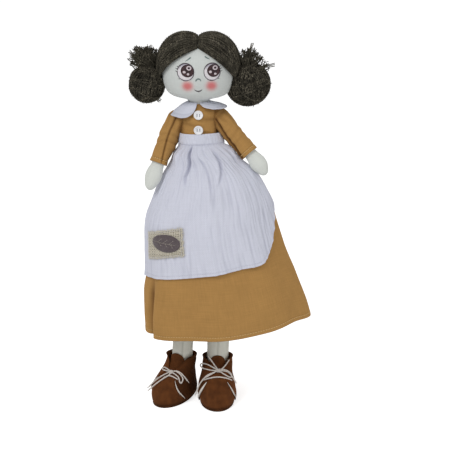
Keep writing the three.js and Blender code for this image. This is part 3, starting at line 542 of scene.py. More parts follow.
SKIN_SHADE = linear(150, 152, 142)
skin_look = cloth_look("pale_cotton", linear(218, 221, 215), 0.55, 0.05, 0.05, 0.035, 0.2, dark=SKIN_SHADE)
leg_look = cloth_look("pale_sock_cotton", linear(230, 230, 219), 0.55, 0.05, 0.05, 0.035, 0.2,
                      dark=SKIN_SHADE)
dress_look = cloth_look("mustard_linen", linear(176, 134, 78), 0.62, 0.08, 0.13, 0.09, 0.3,
                        dark=linear(84, 54, 24))
gauze_look = cloth_look("white_gauze", linear(215, 217, 230), 0.85, 0.07, 0.05, 0.03, 0.25, 0.5,
                        dark=linear(136, 138, 158))
collar_look = cloth_look("white_cotton", linear(210, 212, 224), 0.5, 0.05, 0.05, 0.03, 0.25,
                         dark=linear(132, 134, 148))
backing_look = cloth_look("patch_backing_cloth", linear(146, 138, 120), 0.9, 0.06, 0.2, 0.1, 0.2)
hair_look = yarn_look("dark_yarn", linear(43, 41, 34), linear(128, 121, 105), linear(14, 13, 10))
suede_brown = suede_look("brown_suede", linear(104, 61, 31), linear(82, 47, 24), linear(116, 70, 35))
sole_look = suede_look("sole_suede", linear(84, 50, 26), linear(54, 30, 15), linear(104, 66, 38))
lace_look = thread_look("cream_lace", linear(246, 238, 230))
edging_look = thread_look("pale_edging", linear(252, 246, 238), 0.05)
stitch_look = thread_look("pale_stitch", linear(236, 206, 148), 0.05)
white_stitch = thread_look("white_stitch", linear(236, 234, 240), 0.05)
burlap_look = thread_look("burlap_thread", linear(238, 231, 214), 0.08)
leaf_thread = thread_look("leaf_thread", linear(196, 186, 176), 0.05)
grey_thread = thread_look("grey_thread", linear(186, 188, 196), 0.05)
felt_dark = felt_look("taupe_felt", linear(80, 70, 73), linear(112, 101, 103))
button_look = plain_look("white_button", linear(238, 238, 240), 0.35, 3.0, 0.03, Coat_Weight=0.3,
                         Coat_Roughness=0.2, IOR=1.5)
joint_look = plain_look("joint_button", linear(226, 224, 214), 0.42, 3.0, 0.04)
wood_look = plain_look("beech", linear(206, 172, 124), 0.6, 1.6, 0.16, (1, 1, 0.08))
board_look = plain_look("grey_board", linear(172, 146, 112), 0.9, 0.9, 0.12)
waxed_thread = plain_look("waxed_thread", linear(236, 234, 226), 0.6, 0.5, 0.1)


# Head with its painted face: height, half width and half depth of its rings
HEAD = [
    [302.5, 9.4, 9.4], [305.5, 9.8, 9.9], [307.6, 13.5, 13], [309.8, 22.3, 18.5], [312.6, 27.8, 22],
    [316, 30.8, 24.4], [324, 34, 27.5], [335, 34.5, 29], [347, 31.5, 27], [355.5, 23.5, 19.7],
    [361.5, 14.5, 12.2], [364.5, 3.45, 2.9],
]
FACE_INSIDE = (0, 20, 335)
BLUSHES = ((-9.7, 322.4), (12.8, 322.8))


def head_point(angle, height):
    half_width, half_depth = between(HEAD, height)
    x = np.sin(angle) * half_width
    return np.stack([x, -np.cos(angle) * half_depth, np.broadcast_to(height, x.shape)], axis=-1)


def on_face(x, z, out):
    """A point of the front of the head over a place in its front view."""
    half_width, half_depth = between(HEAD, z)
    y = -half_depth * np.sqrt(np.clip(1 - (x / half_width) ** 2, 0.02, 1))
    above, below = between(HEAD, z + 0.5), between(HEAD, z - 0.5)
    widening, deepening = above[0] - below[0], above[1] - below[1]
    lean = -widening / half_width * (x / half_width) ** 2 - deepening / half_depth * (y / half_depth) ** 2
    normal = unit(np.stack([x / half_width**2, y / half_depth**2, lean], axis=-1))
    return np.stack([x, y, z], axis=-1) + normal * out


def head_look():
    """The head's cotton with two soft chalk blushes, placed from the neck's axis."""
    s = Shader("face_cotton")
    place, body = s.cloth_place(), s.solid_place()
    threads = slubs(s, place, 0.9)
    spread = s.math("MULTIPLY_ADD", s.math("SUBTRACT", threads, 1.0), 0.1, 1.0)
    spread = s.varied(s.noise(body, 19, 3, 0.5), 0.06, spread)
    tone = s.vector("SCALE", linear(208, 212, 209)[:3], scale=spread)[0]
    chalk = s.noise(body, 1.6, 3, 0.6)
    front = s.math("LESS_THAN", s.node("SeparateXYZ", i0=body).outputs[1], 0.0)
    for x, z in BLUSHES:
        offset = s.vector("SUBTRACT", body, (x + AXIS[0] / MM, 0.0, z))[0]
        flat = s.vector("MULTIPLY", offset, (1.0, 0.0, 1.12))[0]
        reach = s.varied(chalk, 1.6, s.vector("LENGTH", flat)["Value"])
        faint = s.math("MULTIPLY", s.ramp(reach, 9.0, 4.0), 0.2)
        soft = s.math("MULTIPLY_ADD", s.ramp(reach, 7.0, 1.4), 0.62, faint)
        tone = s.mix(s.math("MULTIPLY", soft, front), tone, linear(212, 88, 90))
    normal = s.bump(s.math("MULTIPLY_ADD", threads, 0.6, weave(s, place, 0.6)), 0.05)
    return s.finish(tone, 0.9, normal, Sheen_Weight=0.2, Sheen_Roughness=0.5, Specular_IOR_Level=0.2)


def make_head():
    neck, face = np.linspace(HEAD[0][0], 311, 12), np.linspace(312.4, 360, 36)
    heights = np.concatenate([neck, face, [361.2, 362.3, 363.3, 364.1, HEAD[-1][0]]])
    points = head_point(ring_angles(96)[None], heights[:, None])
    points += (lumps(points, 11, 3.0) * 0.22)[..., None] * (points - [0, 0, 333]) / 30
    piece = closed_piece("head_cotton", points, head_look())
    worn(piece, "head", "head")


def paint_look(name, colour, streak):
    """Fabric paint that the weave shows through."""
    s = Shader(name)
    body = s.solid_place()
    brush = s.noise(body, 1.3, 3, 0.6)
    weft = s.noise(body, 0.5, 1, 0.5)
    tone = s.mix(s.ramp(brush, 0.3, 0.7), scaled(colour, 1 - streak), scaled(colour, 1 + streak))
    return s.finish(tone, 0.6, s.bump(weft, 0.05), Specular_IOR_Level=0.3)


class Paint:
    """Flat paint on the face, gathered into one thin shell per colour."""

    def __init__(self, name, look, out):
        self.name, self.look, self.out = name, look, out
        self.points, self.faces, self.count = [], [], 0

    def add(self, x, z):
        rows, columns = x.shape
        self.points.append(on_face(x, z, self.out).reshape(-1, 3))
        self.faces.append(grid_faces(rows, columns, False, self.count)[0])
        self.count += rows * columns

    def disc(self, x, z, half_width, half_height, power=2.0, inner=0.0):
        """A disc or ring; a power over 2 makes it squarer."""
        share, angle = mesh_grid(np.linspace(inner, 1, 9), np.linspace(0, TURN, 49))
        share = np.maximum(share, 0.02)
        a, b = [np.sign(way) * np.abs(way) ** (2 / power) for way in (np.cos(angle), np.sin(angle))]
        self.add(x + a * half_width * share, z + b * half_height * share)

    def stroke(self, points, widths):
        """A brush line through points, with widths along it."""
        flat = np.column_stack([np.asarray(points, float), np.zeros(len(points))])
        line = smooth_path(flat, 0.25)[:, :2]
        share = np.linspace(0, 1, len(line))
        width = np.interp(share, np.linspace(0, 1, len(widths)), widths) / 2
        along = unit(np.gradient(line, axis=0))
        across = np.column_stack([-along[:, 1], along[:, 0]])
        grid = np.array([line + across * (width * side)[:, None] for side in (-1, -0.5, 0, 0.5, 1)])
        self.add(grid[..., 0], grid[..., 1])

    def done(self):
        piece = mesh_piece(self.name, np.concatenate(self.points), self.faces, self.look)
        face_front(piece, FACE_INSIDE)
        worn(thicken(piece, 0.05), "head")


def arc(x, z, half_width, half_height, start, end, count=12):
    angles = np.radians(np.linspace(start, end, count))
    return np.column_stack([x + np.cos(angles) * half_width, z + np.sin(angles) * half_height])


# Each eye's middle, side, half width and how far it glances
EYES = ((-11.3, 335.5, -1, 7.7, 1.75), (13.4, 335.8, 1, 7.4, 1.4))


def make_face():
    white = Paint("eye_whites", paint_look("eye_white_paint", linear(222, 217, 220), 0.05), 0.10)
    shade = Paint("eye_shades", paint_look("eye_shade_paint", linear(186, 181, 192), 0.06), 0.16)
    iris = Paint("irises", paint_look("iris_paint", linear(57, 35, 37), 0.3), 0.20)
    pupil = Paint("pupils", paint_look("pupil_paint", linear(39, 21, 25), 0.1), 0.26)
    light = Paint("eye_lights", paint_look("eye_light_paint", linear(206, 194, 198), 0.06), 0.32)
    line = Paint("face_lines", paint_look("face_line_paint", linear(62, 50, 58), 0.15), 0.30)
    green = Paint("brow_lines", paint_look("brow_paint", linear(104, 121, 119), 0.12), 0.14)
    for x, z, side, half, glance in EYES:
        white.disc(x, z, half, 7.5, 2.1)
        shade.stroke(arc(x, z, half - 0.8, 7.1, 25, 155), [0.5, 1.2, 1.2, 0.5])
        shade.stroke(arc(x, z - 0.3, half - 0.4, 7.4, 200, 342), [0.2, 0.8, 1.0, 0.8, 0.2])
        cx, cz = x + glance, z + 1.3
        iris.disc(cx, cz, half - 1.55, 5.7)
        pupil.disc(cx, cz, half - 1.4, 5.85, inner=0.86)
        pupil.disc(cx + 0.1, cz + 0.3, 3.3, 3.3)
        light.disc(cx + 1.4, cz + 2.6, 2.35, 2.1, inner=0.5)
        light.disc(cx - 3.0, cz - 1.1, 1.4, 1.2)
        light.disc(cx + (0.6 if side < 0 else 1.5), cz - 3.0, 1.15, 1.05)
        lid = arc(x, z + 0.1, half + 0.3, 8.0, 168 if side < 0 else 12, 8 if side < 0 else 172, 16)
        line.stroke(lid, [0.4, 0.95, 1.05, 0.9, 0.3])
        line.stroke(arc(x, z, half + 0.15, 7.8, 172, 292), [0.4, 0.5, 0.45, 0.8, 0.3])
        line.stroke(arc(x, z, half + 0.15, 7.8, 8, -70), [0.35, 0.6, 0.3])
        for turn, reach in ((142, 2.3), (158, 2.5), (176, 2.0)):
            outer = math.radians(180 - turn if side > 0 else turn)
            start = np.array([x, z]) + [(half + 0.2) * math.cos(outer), 7.8 * math.sin(outer)]
            tip = start + reach * np.array([side * 0.93, 0.3])
            middle = (start + tip) / 2 + [0, -0.25]
            line.stroke([start, middle, tip], [0.7, 0.45, 0.15])
        low = np.array([x + side * 5.2, z - 6.1])
        line.stroke([low, low + [side * 1.0, -0.2], low + [side * 1.9, 0.1]], [0.5, 0.35, 0.1])
    green.stroke([(-11.6, 345.5), (-9.0, 347.1), (-6.4, 349.1)], [0.3, 1.0, 1.15])
    green.stroke([(11.2, 347.5), (9.0, 348.5), (6.6, 349.9)], [0.3, 1.0, 1.0])
    nose = [(-1.9, 327.2), (-1.1, 328.8), (0.7, 329.6), (2.4, 328.7), (3.0, 327.3)]
    green.stroke(nose, [0.7, 1.25, 1.1, 0.95, 0.5])
    mouth = [(-3.2, 319.3), (-1.4, 318.0), (0.8, 317.5), (2.8, 318.3), (4.0, 319.4)]
    line.stroke(mouth, [0.3, 0.75, 0.95, 0.8, 0.3])
    for paint in (white, shade, iris, pupil, light, line, green):
        paint.done()


# Yarn hair: two lobes from a centre parting, two wound buns, loose ends
LOBE_CENTRE = np.array([12.0, 4.0, 340.0])
LOBE_RADII = np.array([28.5, 31.5, 30.5])
# Each bun's centre and radii
BUNS = {
    "right": (np.array([-50.0, 3.0, 321.0]), np.array([17.2, 17.0, 18.0])),
    "left": (np.array([47.7, 3.0, 321.0]), np.array([21.4, 18.5, 21.0])),
}
YARN = 0.8


def arcs(starts, ends, shares):
    """Great-circle ways between unit directions."""
    starts, ends = unit(starts), unit(ends)
    whole = np.arccos(np.clip((starts * ends).sum(-1, keepdims=True), -0.999, 0.999))[..., None, :]
    shares = shares[:, None]
    from_start = np.sin((1 - shares) * whole) * starts[..., None, :]
    return (from_start + np.sin(shares * whole) * ends[..., None, :]) / np.sin(whole)


def lobe_ways(side, places, shares, inset, drift=0.0):
    """Paths over a lobe; a place from 0 to 1 goes from the forehead over the top to the nape."""
    roll = np.radians(-53 + places * 205)
    beside = (LOBE_CENTRE[0] - 0.3) / LOBE_RADII[0]
    reach = math.sqrt(1 - beside**2)
    aside = np.full(len(places), -side * beside)
    starts = np.column_stack([aside, reach * np.sin(roll), reach * np.cos(roll)])
    lower = 0.18 if side > 0 else 0.02
    pole = np.array([side * 28 / LOBE_RADII[0], 0.0, -17 / LOBE_RADII[2] - lower])
    ends = pole + np.column_stack([0 * roll, 0.24 * np.sin(roll) + drift, 0.24 * np.cos(roll)])
    ways = arcs(starts, ends, shares)
    over_crown = smoothstep(places, 0.06, 0.2)[:, None]
    notch = 1 - 0.03 * over_crown * np.exp(-shares / 0.05)[None]
    swell = 1 + 0.02 * np.sin(shares * math.pi)[None] + 0.03 * (1 - over_crown)
    ways[..., 1:] *= (notch * swell)[..., None]
    return ways * (LOBE_RADII - inset * np.array([0.3, 1, 1])) + LOBE_CENTRE * [side, 1, 1]


def lay_yarn(strands, path, darkest, lightest, closed=False):
    """A strand of yarn of its own thickness, twist and tint."""
    strands.lay(path, YARN * chance.uniform(0.8, 1.15), 8, 0.45, chance.uniform(3.6, 5), closed,
                tint=chance.uniform(darkest, lightest))


def fuzz(strands, roots, outward, count, longest):
    """Short fibres that stand off the yarn."""
    picks = chance.integers(0, len(roots), count)
    for pick in picks:
        lean = unit(outward[pick] + chance.normal(0, 0.6, 3))
        bend = chance.normal(0, 0.35, 3)
        reach = chance.uniform(0.4, 1) * longest
        steps = np.linspace(0, 1, 4)[:, None]
        path = roots[pick] + (lean * steps + bend * steps**2) * reach
        strands.lay(path, [0.075, 0.06, 0.045, 0.02], 3)


def make_lobe(name, side):
    centre = LOBE_CENTRE * [side, 1, 1]
    shares = np.linspace(0, 0.97, 84)
    strands = Strands()
    roots, outward = [], []
    for layer, (count, lift, wander) in enumerate(((62, 0.75, 0.25), (34, 0.05, 0.9))):
        places = (np.arange(count) + 0.5) / count
        if layer:
            places = np.clip(places + chance.normal(0, 0.03, count), 0.02, 0.985)
        for place in places:
            wave = chance.normal(0, wander) * np.sin(shares * math.pi * chance.uniform(0.8, 2.2))
            inset, drift = lift + chance.normal(0, 0.18), chance.normal(0, 0.05)
            way = lobe_ways(side, np.array([place]), shares, inset, drift)[0]
            out = unit((way - centre) / LOBE_RADII**2)
            way = way + unit(np.cross(np.gradient(way, axis=0), out)) * wave[:, None]
            lay_yarn(strands, way, 0.15, 1)
            roots.append(way[4:-8:3] + out[4:-8:3] * 0.7)
            outward.append(out[4:-8:3])
    fuzz(strands, np.concatenate(roots), np.concatenate(outward), 1500, 2.0)
    worn(strands.done(f"hair_yarn_{name}", hair_look), "head", f"hair_{name}")
    under = lobe_ways(side, np.linspace(0, 1, 60), np.linspace(0, 1, 40), 1.3)
    base = cloth_piece(f"hair_base_{name}", under, hair_look, centre, 2.4)
    worn(base, "head")


def on_bun(name, directions, inset):
    centre, radii = BUNS[name]
    return centre + unit(directions) * (radii - inset)


def make_bun(name, side):
    strands = Strands()
    steps = ring_angles(112)
    axis = unit([-side * 0.25, -0.15, 1.0])
    first = unit(np.cross(axis, [0, 1, 0]))
    second = np.cross(axis, first)
    roots = []
    orderly, count = 46, 58
    for index in range(count):
        wild = index >= orderly
        turn = index / orderly * math.pi + chance.normal(0, 0.02)
        across = first * math.cos(turn) + second * math.sin(turn)
        tilt = chance.normal(0, 0.55 if wild else 0.12)
        other = axis * math.cos(tilt) + np.cross(across, axis) * math.sin(tilt)
        shift = chance.normal(0, 0.28 if wild else 0.07)
        wave = 0.03 * np.sin(steps * 2 + chance.uniform(0, TURN))
        loop = np.cos(steps)[:, None] * across + np.sin(steps)[:, None] * other
        loop = loop + np.cross(across, other) * (shift + wave)[:, None]
        path = on_bun(name, loop, (0.1 if wild else 0.85) + chance.normal(0, 0.2))
        lay_yarn(strands, path, 0, 0.48, True)
        roots.append(path[::4])
    roots = np.concatenate(roots)
    outward = (roots - BUNS[name][0]) / BUNS[name][1]
    fuzz(strands, roots + outward * 0.6, outward, 1500, 2.1)
    worn(strands.done(f"bun_yarn_{name}", hair_look), "head", f"bun_{name}")
    core = closed_piece(f"bun_core_{name}", on_bun(name, ball_grid(30, 48, 0.02)[0], 1.5), hair_look)
    worn(core, "head")


def loose_ends(strands, root, tips, count, spread, girth, curl):
    """Yarn ends that fan from a root towards the given tips, unplied at their ends."""
    for index in range(count):
        tip = np.asarray(tips[index % len(tips)], float) + chance.normal(0, spread, 3)
        start = np.asarray(root, float) + chance.normal(0, 1.5, 3)
        middle = (start + tip) / 2 + chance.normal(0, curl, 3)
        path = smooth_path([start, middle, tip], 0.8)
        taper = np.linspace(1, 0.55, len(path)) * girth
        strands.lay(path, taper, 6, 0.45, 3.6, tint=chance.uniform(0.4, 1))
        for _ in range(3):
            onward = (path[-1] - path[-3]) * chance.uniform(0.2, 0.7)
            end = path[-1] + onward + chance.normal(0, 0.6, 3)
            fibre = smooth_path([path[-2], (path[-1] + end) / 2, end], 0.6)
            strands.lay(fibre, girth * 0.4, 3, tint=1.0)


def fan(corners, count):
    """Tips of a frayed tuft, between neighbouring corners of its outline and some way inside it."""
    corners = np.array(corners, float)
    middle = corners.mean(axis=0)
    pick = chance.integers(0, len(corners), count)
    share = chance.random(count)[:, None]
    rim = corners[pick] * (1 - share) + corners[(pick + 1) % len(corners)] * share
    return middle + (rim - middle) * chance.uniform(0.5, 1.1, count)[:, None]


def wisp(strands, points, thinnest, tint):
    """A single long end that stands free of the others."""
    path = smooth_path(points, 0.8)
    strands.lay(path, np.linspace(0.75, thinnest, len(path)), 6, 0.45, 3.2, tint=tint)


# Outlines that the loose ends of the buns reach
RIGHT_BRUSH = [(-66.5, -3, 344), (-65, -6, 348), (-64, -6, 352), (-61, -6, 357), (-56, -5, 357),
               (-52, -5, 354), (-47.5, -4, 358), (-42.5, -3, 357), (-38.5, 0, 353), (-48, 9, 354),
               (-58, 9, 352), (-64, 5, 346), (-62.8, -4, 340)]
TOP_BRUSH = [(37, -4, 346), (40.5, -6, 352.5), (44.5, -5, 355), (49, -5, 354), (53, -6, 355), (57, -5, 351),
             (61, -5, 346), (60, 4, 345), (50, 8, 351), (41, 5, 350)]
BESIDE_HAIR = [(-38.5, 3, 350.5), (-38.2, 3, 346), (-38.5, 2, 342), (-40.5, 4, 352)]
LOW_ENDS = [(-37, -9, 306.8), (-38.5, -9, 306), (-36, -8, 308.2)]
SIDE_ENDS = [(65, -6, 341), (66.5, -6, 337), (62, -6, 343)]


def make_tufts():
    right, top, side = Strands(), Strands(), Strands()
    for root in ((-47, 2, 337), (-52, 3, 337), (-43, 2, 339)):
        loose_ends(right, root, fan(RIGHT_BRUSH, 60), 60, 0.7, 0.8, 1.8)
    loose_ends(right, (-43, 3, 336), BESIDE_HAIR, 30, 0.8, 0.8, 1.0)
    loose_ends(right, (-42, -9, 309.5), LOW_ENDS, 7, 0.3, 0.5, 0.3)
    for root in ((45, -2, 335), (50, -2, 335)):
        loose_ends(top, root, fan(TOP_BRUSH, 74), 74, 0.5, 0.64, 1.4)
    for shift in (0, 0.8, -0.7):
        upper = [(50 + shift, -6, 356), (51.6 + shift * 1.6, -6, 361)]
        wisp(top, [(46, -3, 346), (48.4 + shift, -5, 352), *upper], 0.45, 0.8)
    for shift in (0, 0.8, -0.9):
        outer = [(67, -6, 339.4 + shift * 1.3), (73, -6, 340.6 + shift * 1.7)]
        wisp(side, [(57, -6, 336 + shift), (63, -7, 339.5 + shift), *outer], 0.55, 0.7)
    loose_ends(side, (58, -5, 334), SIDE_ENDS, 20, 1.0, 0.6, 0.9)
    for strands, place in ((right, "right"), (top, "left_top"), (side, "left_side")):
        ends = strands.done(f"bun_loose_ends_{place}", hair_look)
        worn(ends, "head", f"bun_tuft_{place}")


# Stitches
def stitches(strands, path, length, gap, radius, lift, out):
    """Short visible threads along a path, sunk into the cloth at both ends; out gives the way up."""
    spacing = 0.3
    path = smooth_path(path, spacing)
    per, step = max(int(length / spacing), 2), max(int((length + gap) / spacing), 3)
    for start in range(0, len(path) - per, step):
        piece = path[start:start + per + 1]
        arch = np.sin(np.linspace(0, math.pi, len(piece)))[:, None]
        strands.lay(piece + out(piece) * (arch * lift * 2.2 - lift), radius, 5)
    return strands


# Torso, bodice, collar, buttons. The torso's rings are a height, half width and half depth
TORSO = [
    [211, 13.6, 10.5], [216, 20.2, 15.6], [228, 22, 17], [259, 16.4, 13.4], [276, 16.4, 13.4],
    [285, 15.2, 14.6], [296, 14.4, 12.56], [302, 8.8, 8.8], [312, 8.8, 8.8],
]
CLOTH = 0.9
CHEST_INSIDE = (0, 0, 285)
BODICE_LOW, BODICE_HIGH, BODICE_EASE = 266.5, 303.2, 1.55


def torso_point(angle, height, out=0.0):
    half_width, half_depth = between(TORSO, height)
    shape = np.broadcast(angle, height).shape
    return np.stack([
        np.broadcast_to(np.sin(angle) * (half_width + out), shape),
        np.broadcast_to(-np.cos(angle) * (half_depth + out), shape), np.broadcast_to(height, shape),
    ], axis=-1)


def make_torso():
    heights = np.linspace(TORSO[0][0], TORSO[-1][0], 52)
    points = torso_point(ring_angles(64)[None], heights[:, None])
    piece = closed_piece("torso_cotton", points, skin_look)
    worn(piece, "torso", "torso_body")


def make_bodice():
    heights = np.linspace(BODICE_LOW, BODICE_HIGH, 66)
    for name, middle in (("front", -0.5), ("back", 0.5)):
        turns = np.linspace(middle - 0.5, middle + 0.5, 81) * math.pi + TURN / 4
        a, h = np.meshgrid(turns, heights)
        plain = torso_point(a, h, BODICE_EASE)
        wide = lumps(plain, 9, 5.5) * 0.55 + lumps(plain * [1, 1, 2.2], 6, 9.0) * 0.3
        pull = 0.0
        # painted shade: in the pulled creases of the front, along the side seams, in the gap beside the
        # sleeves and along the lower edge
        shade = np.zeros(a.shape)
        if name == "front":
            for x, z, width, depth in ((7, 276.6, 1.3, 0.55), (-9, 284, 1.6, 0.35), (10, 289, 1.8, 0.4)):
                slanted = plain[..., 2] + plain[..., 0] * 0.12
                line = bump(slanted, z + x * 0.12, width) * smoothstep(np.abs(plain[..., 0] - x), 9, 2)
                pull = pull - line * depth
                shade += line * 0.28
        from_side = np.abs(np.abs(np.sin(a)) - 1)
        shade += np.exp(-from_side / 0.012) * 0.7 * smoothstep(h, 272, 278)
        shade += smoothstep(np.abs(plain[..., 0]), 13.6, 16.6) * 0.6 * smoothstep(h, 271, 276)
        shade += bump(h, BODICE_LOW, 2.5) * 0.3
        points = torso_point(a, h, BODICE_EASE + wide + pull)
        piece = cloth_piece(f"bodice_{name}_cloth", points, dress_look, CHEST_INSIDE, CLOTH, shade)
        worn(piece, "torso", f"bodice_{name}")


def collar_point(side, turn, out, lift):
    angle = turn * side
    front = np.cos(angle)
    reach_x = 9.6 + out * 18.4
    reach_y = 9.6 + out * np.where(front > 0, 11.6, 11.0)
    fall = 0.6 if side > 0 else 1.32
    sideways = 0.0 if side > 0 else 2.2 * np.abs(np.sin(angle)) ** 3
    ahead = 2.4 if side > 0 else 4.8
    drop = 7.4 + ahead * np.maximum(front, 0) ** 2 + 1.5 * np.maximum(-front, 0) + sideways
    drop = np.maximum(out, 0) ** 1.4 * drop * fall
    return np.stack([np.sin(angle) * reach_x, -front * reach_y, 304.4 - drop + lift], axis=-1)


def make_collar(name, side):
    share = np.linspace(0, 1, 64)
    turn = np.radians(6 + share**1.2 * 169)
    edge = np.linspace(0, 1, 17)

    def rounding(value):
        return np.sqrt(1 - (1 - np.minimum(value, 1)) ** 2 * 0.94)

    reach = np.minimum(rounding(share / 0.3), rounding((1 - share) / 0.13))[:, None]
    out = edge[None] * reach
    plump = 1.1 * np.sqrt(np.clip(1 - (2 * edge - 1) ** 4, 0, 1))[None] * np.minimum(reach * 1.4, 1)
    wave = 0.5 * np.sin(turn * 3.1 + side)[:, None] * out**2
    points = collar_point(side, turn[:, None], out, 0.35 + plump * 0.55 + wave)
    points[..., 2] += lumps(points, 6, 1.0) * 0.35
    shade = (bump(edge, 0.9, 0.035) * 0.4 + bump(edge, 0, 0.1) * 0.3)[None] * np.ones(reach.shape)
    piece = cloth_piece(f"collar_cloth_{name}", points, collar_look, CHEST_INSIDE, 1.1, shade)
    rounder = piece.modifiers.new("rounder", "SUBSURF")
    rounder.levels = rounder.render_levels = 1
    worn(applied(piece), "torso", f"collar_{name}")


# Radius and level of a button's rim, from the middle of its front to that of its back
BUTTON_RIM = np.array([(0, 0.75), (2.3, 0.75), (2.9, 0.95), (3.3, 1.35), (3.9, 1.5), (4.35, 1.3), (4.5, 0.9),
                       (4.45, 0.45), (4.1, 0.1), (3.0, 0.0)])
HOLE_AT, HOLE_RADIUS = 1.25, 0.62


def make_button(name, height):
    """A four-hole shirt button with a raised rim, sewn with two upright bars of thread."""
    tilt = math.atan((between(TORSO, height - 4.5)[1] - between(TORSO, height + 4.5)[1]) / 9)
    steps = np.linspace(0, len(BUTTON_RIM) - 1, 37)
    radii, levels = [np.interp(steps, range(len(BUTTON_RIM)), BUTTON_RIM[:, k])[:, None] for k in (0, 1)]
    radius, angle = np.maximum(radii, 0.01), ring_angles(56)[None]
    x, z = radius * np.cos(angle), radius * np.sin(angle)
    level = np.broadcast_to(levels, x.shape).copy()
    front_rows = 21
    for hole_x, hole_z in [(sx * HOLE_AT, sz * HOLE_AT) for sx in (-1, 1) for sz in (-1, 1)]:
        near = 1.15 - np.hypot(x - hole_x, z - hole_z)[:front_rows] / HOLE_RADIUS
        level[:front_rows] -= 0.62 * np.clip(near, 0, 1) ** 0.7
    centre = torso_point(np.array(0.0), np.array(height), 2.6)
    up = np.array([0, math.sin(tilt), math.cos(tilt)])
    out = np.array([0, -math.cos(tilt), math.sin(tilt)])

    def on_button(x, z, lift):
        return centre + x[..., None] * [1.0, 0, 0] + z[..., None] * up + lift[..., None] * out

    piece = closed_piece(f"{name}_disc", on_button(x, z, level), button_look, caps=(-1,))
    worn(piece, "torso", name)
    sewing = Strands()
    for bar in (-HOLE_AT, HOLE_AT):
        for shift in (-0.22, 0.12, 0.34):
            steps = np.linspace(-1, 1, 13)
            bar_path = on_button(bar + shift + 0 * steps, steps * 1.3, 0.78 - 0.75 * steps**6)
            sewing.lay(bar_path, 0.2, 6, tint=0.4)
    sewing.lay(smooth_path([centre + out * 0.3, centre - out * 1.6], 0.4), 1.0, 8)
    worn(sewing.done(f"{name}_thread", grey_thread), "torso")


# Arms and sleeves: the middle of each arm, and where the crease of its sleeve starts and ends, in degrees
ARMS = {
    "right": [(-18.6, 0, 296), (-22.2, 0, 288), (-30.3, -4, 271), (-39.6, -11.5, 245.5), (-44.4, -14.5, 233),
              (-48.6, -16.5, 220.5)],
    "left": [(15.6, 0, 294.1), (21.2, 0, 288), (30.7, -3, 276.8), (48.6, -9, 257), (58.1, -12, 245.6),
             (65.4, -14, 235)],
}
CREASES = {"right": (200, 160), "left": (196, 243)}
CUFF_SHARE = 0.66


class Limb:
    """A place along and around a curved limb."""

    def __init__(self, spine):
        self.path = smooth_path(spine, 0.4)
        self.travelled = travel(self.path)
        self.length = self.travelled[-1]
        self.along = unit(np.gradient(self.path, axis=0))

    def point(self, place, angle, half_width, half_depth):
        middle, along = [
            np.stack([np.interp(place, self.travelled, table[:, k]) for k in range(3)], axis=-1)
            for table in (self.path, self.along)
        ]
        depth_way = unit(np.array([0, 1.0, 0]) - along * along[..., 1:2])
        width_way = np.cross(along, depth_way)
        return (middle + width_way * (np.sin(angle) * half_width)[..., None]
                + depth_way * (np.cos(angle) * half_depth)[..., None])


def make_arm(name, side):
    limb = Limb(ARMS[name])
    length, start = limb.length, 2.6
    cuff = length * CUFF_SHARE
    stations = [
        [start, 0.3, 0.3], [3.6, 2.8, 2.8], [5.6, 5.2, 5.2], [8.5, 6.2, 6.2], [cuff - 4, 5.6, 5.0],
        [cuff + 3, 6.4, 5.0], [cuff + 11, 8.1, 5.7], [cuff + 17, 7.9, 5.5], [length - 6, 6.1, 4.6],
        [length - 2.4, 4.3, 3.4], [length - 0.6, 2.2, 1.9], [length, 0.5, 0.5],
    ]
    ease = (1 - np.cos(np.linspace(0, math.pi, 70))) / 2
    place, angle = mesh_grid(start + (length - start) * ease, ring_angles(48))
    points = limb.point(place, angle, *between(stations, place))
    # seam: a groove down each side, which also takes painted shade
    seam = bump(np.abs(np.sin(angle)), 1, 0.006) * 0.35
    swell = lumps(points, 6, 2.0 + side)[..., None] * 0.25
    points += swell * (points - points.mean(axis=1, keepdims=True)) / 7
    points += (points.mean(axis=1, keepdims=True) - points) * (seam * 0.09)[..., None]
    piece = closed_piece(f"arm_cotton_{name}", points, skin_look, seam)
    worn(piece, f"arm_{name}", f"arm_{name}")


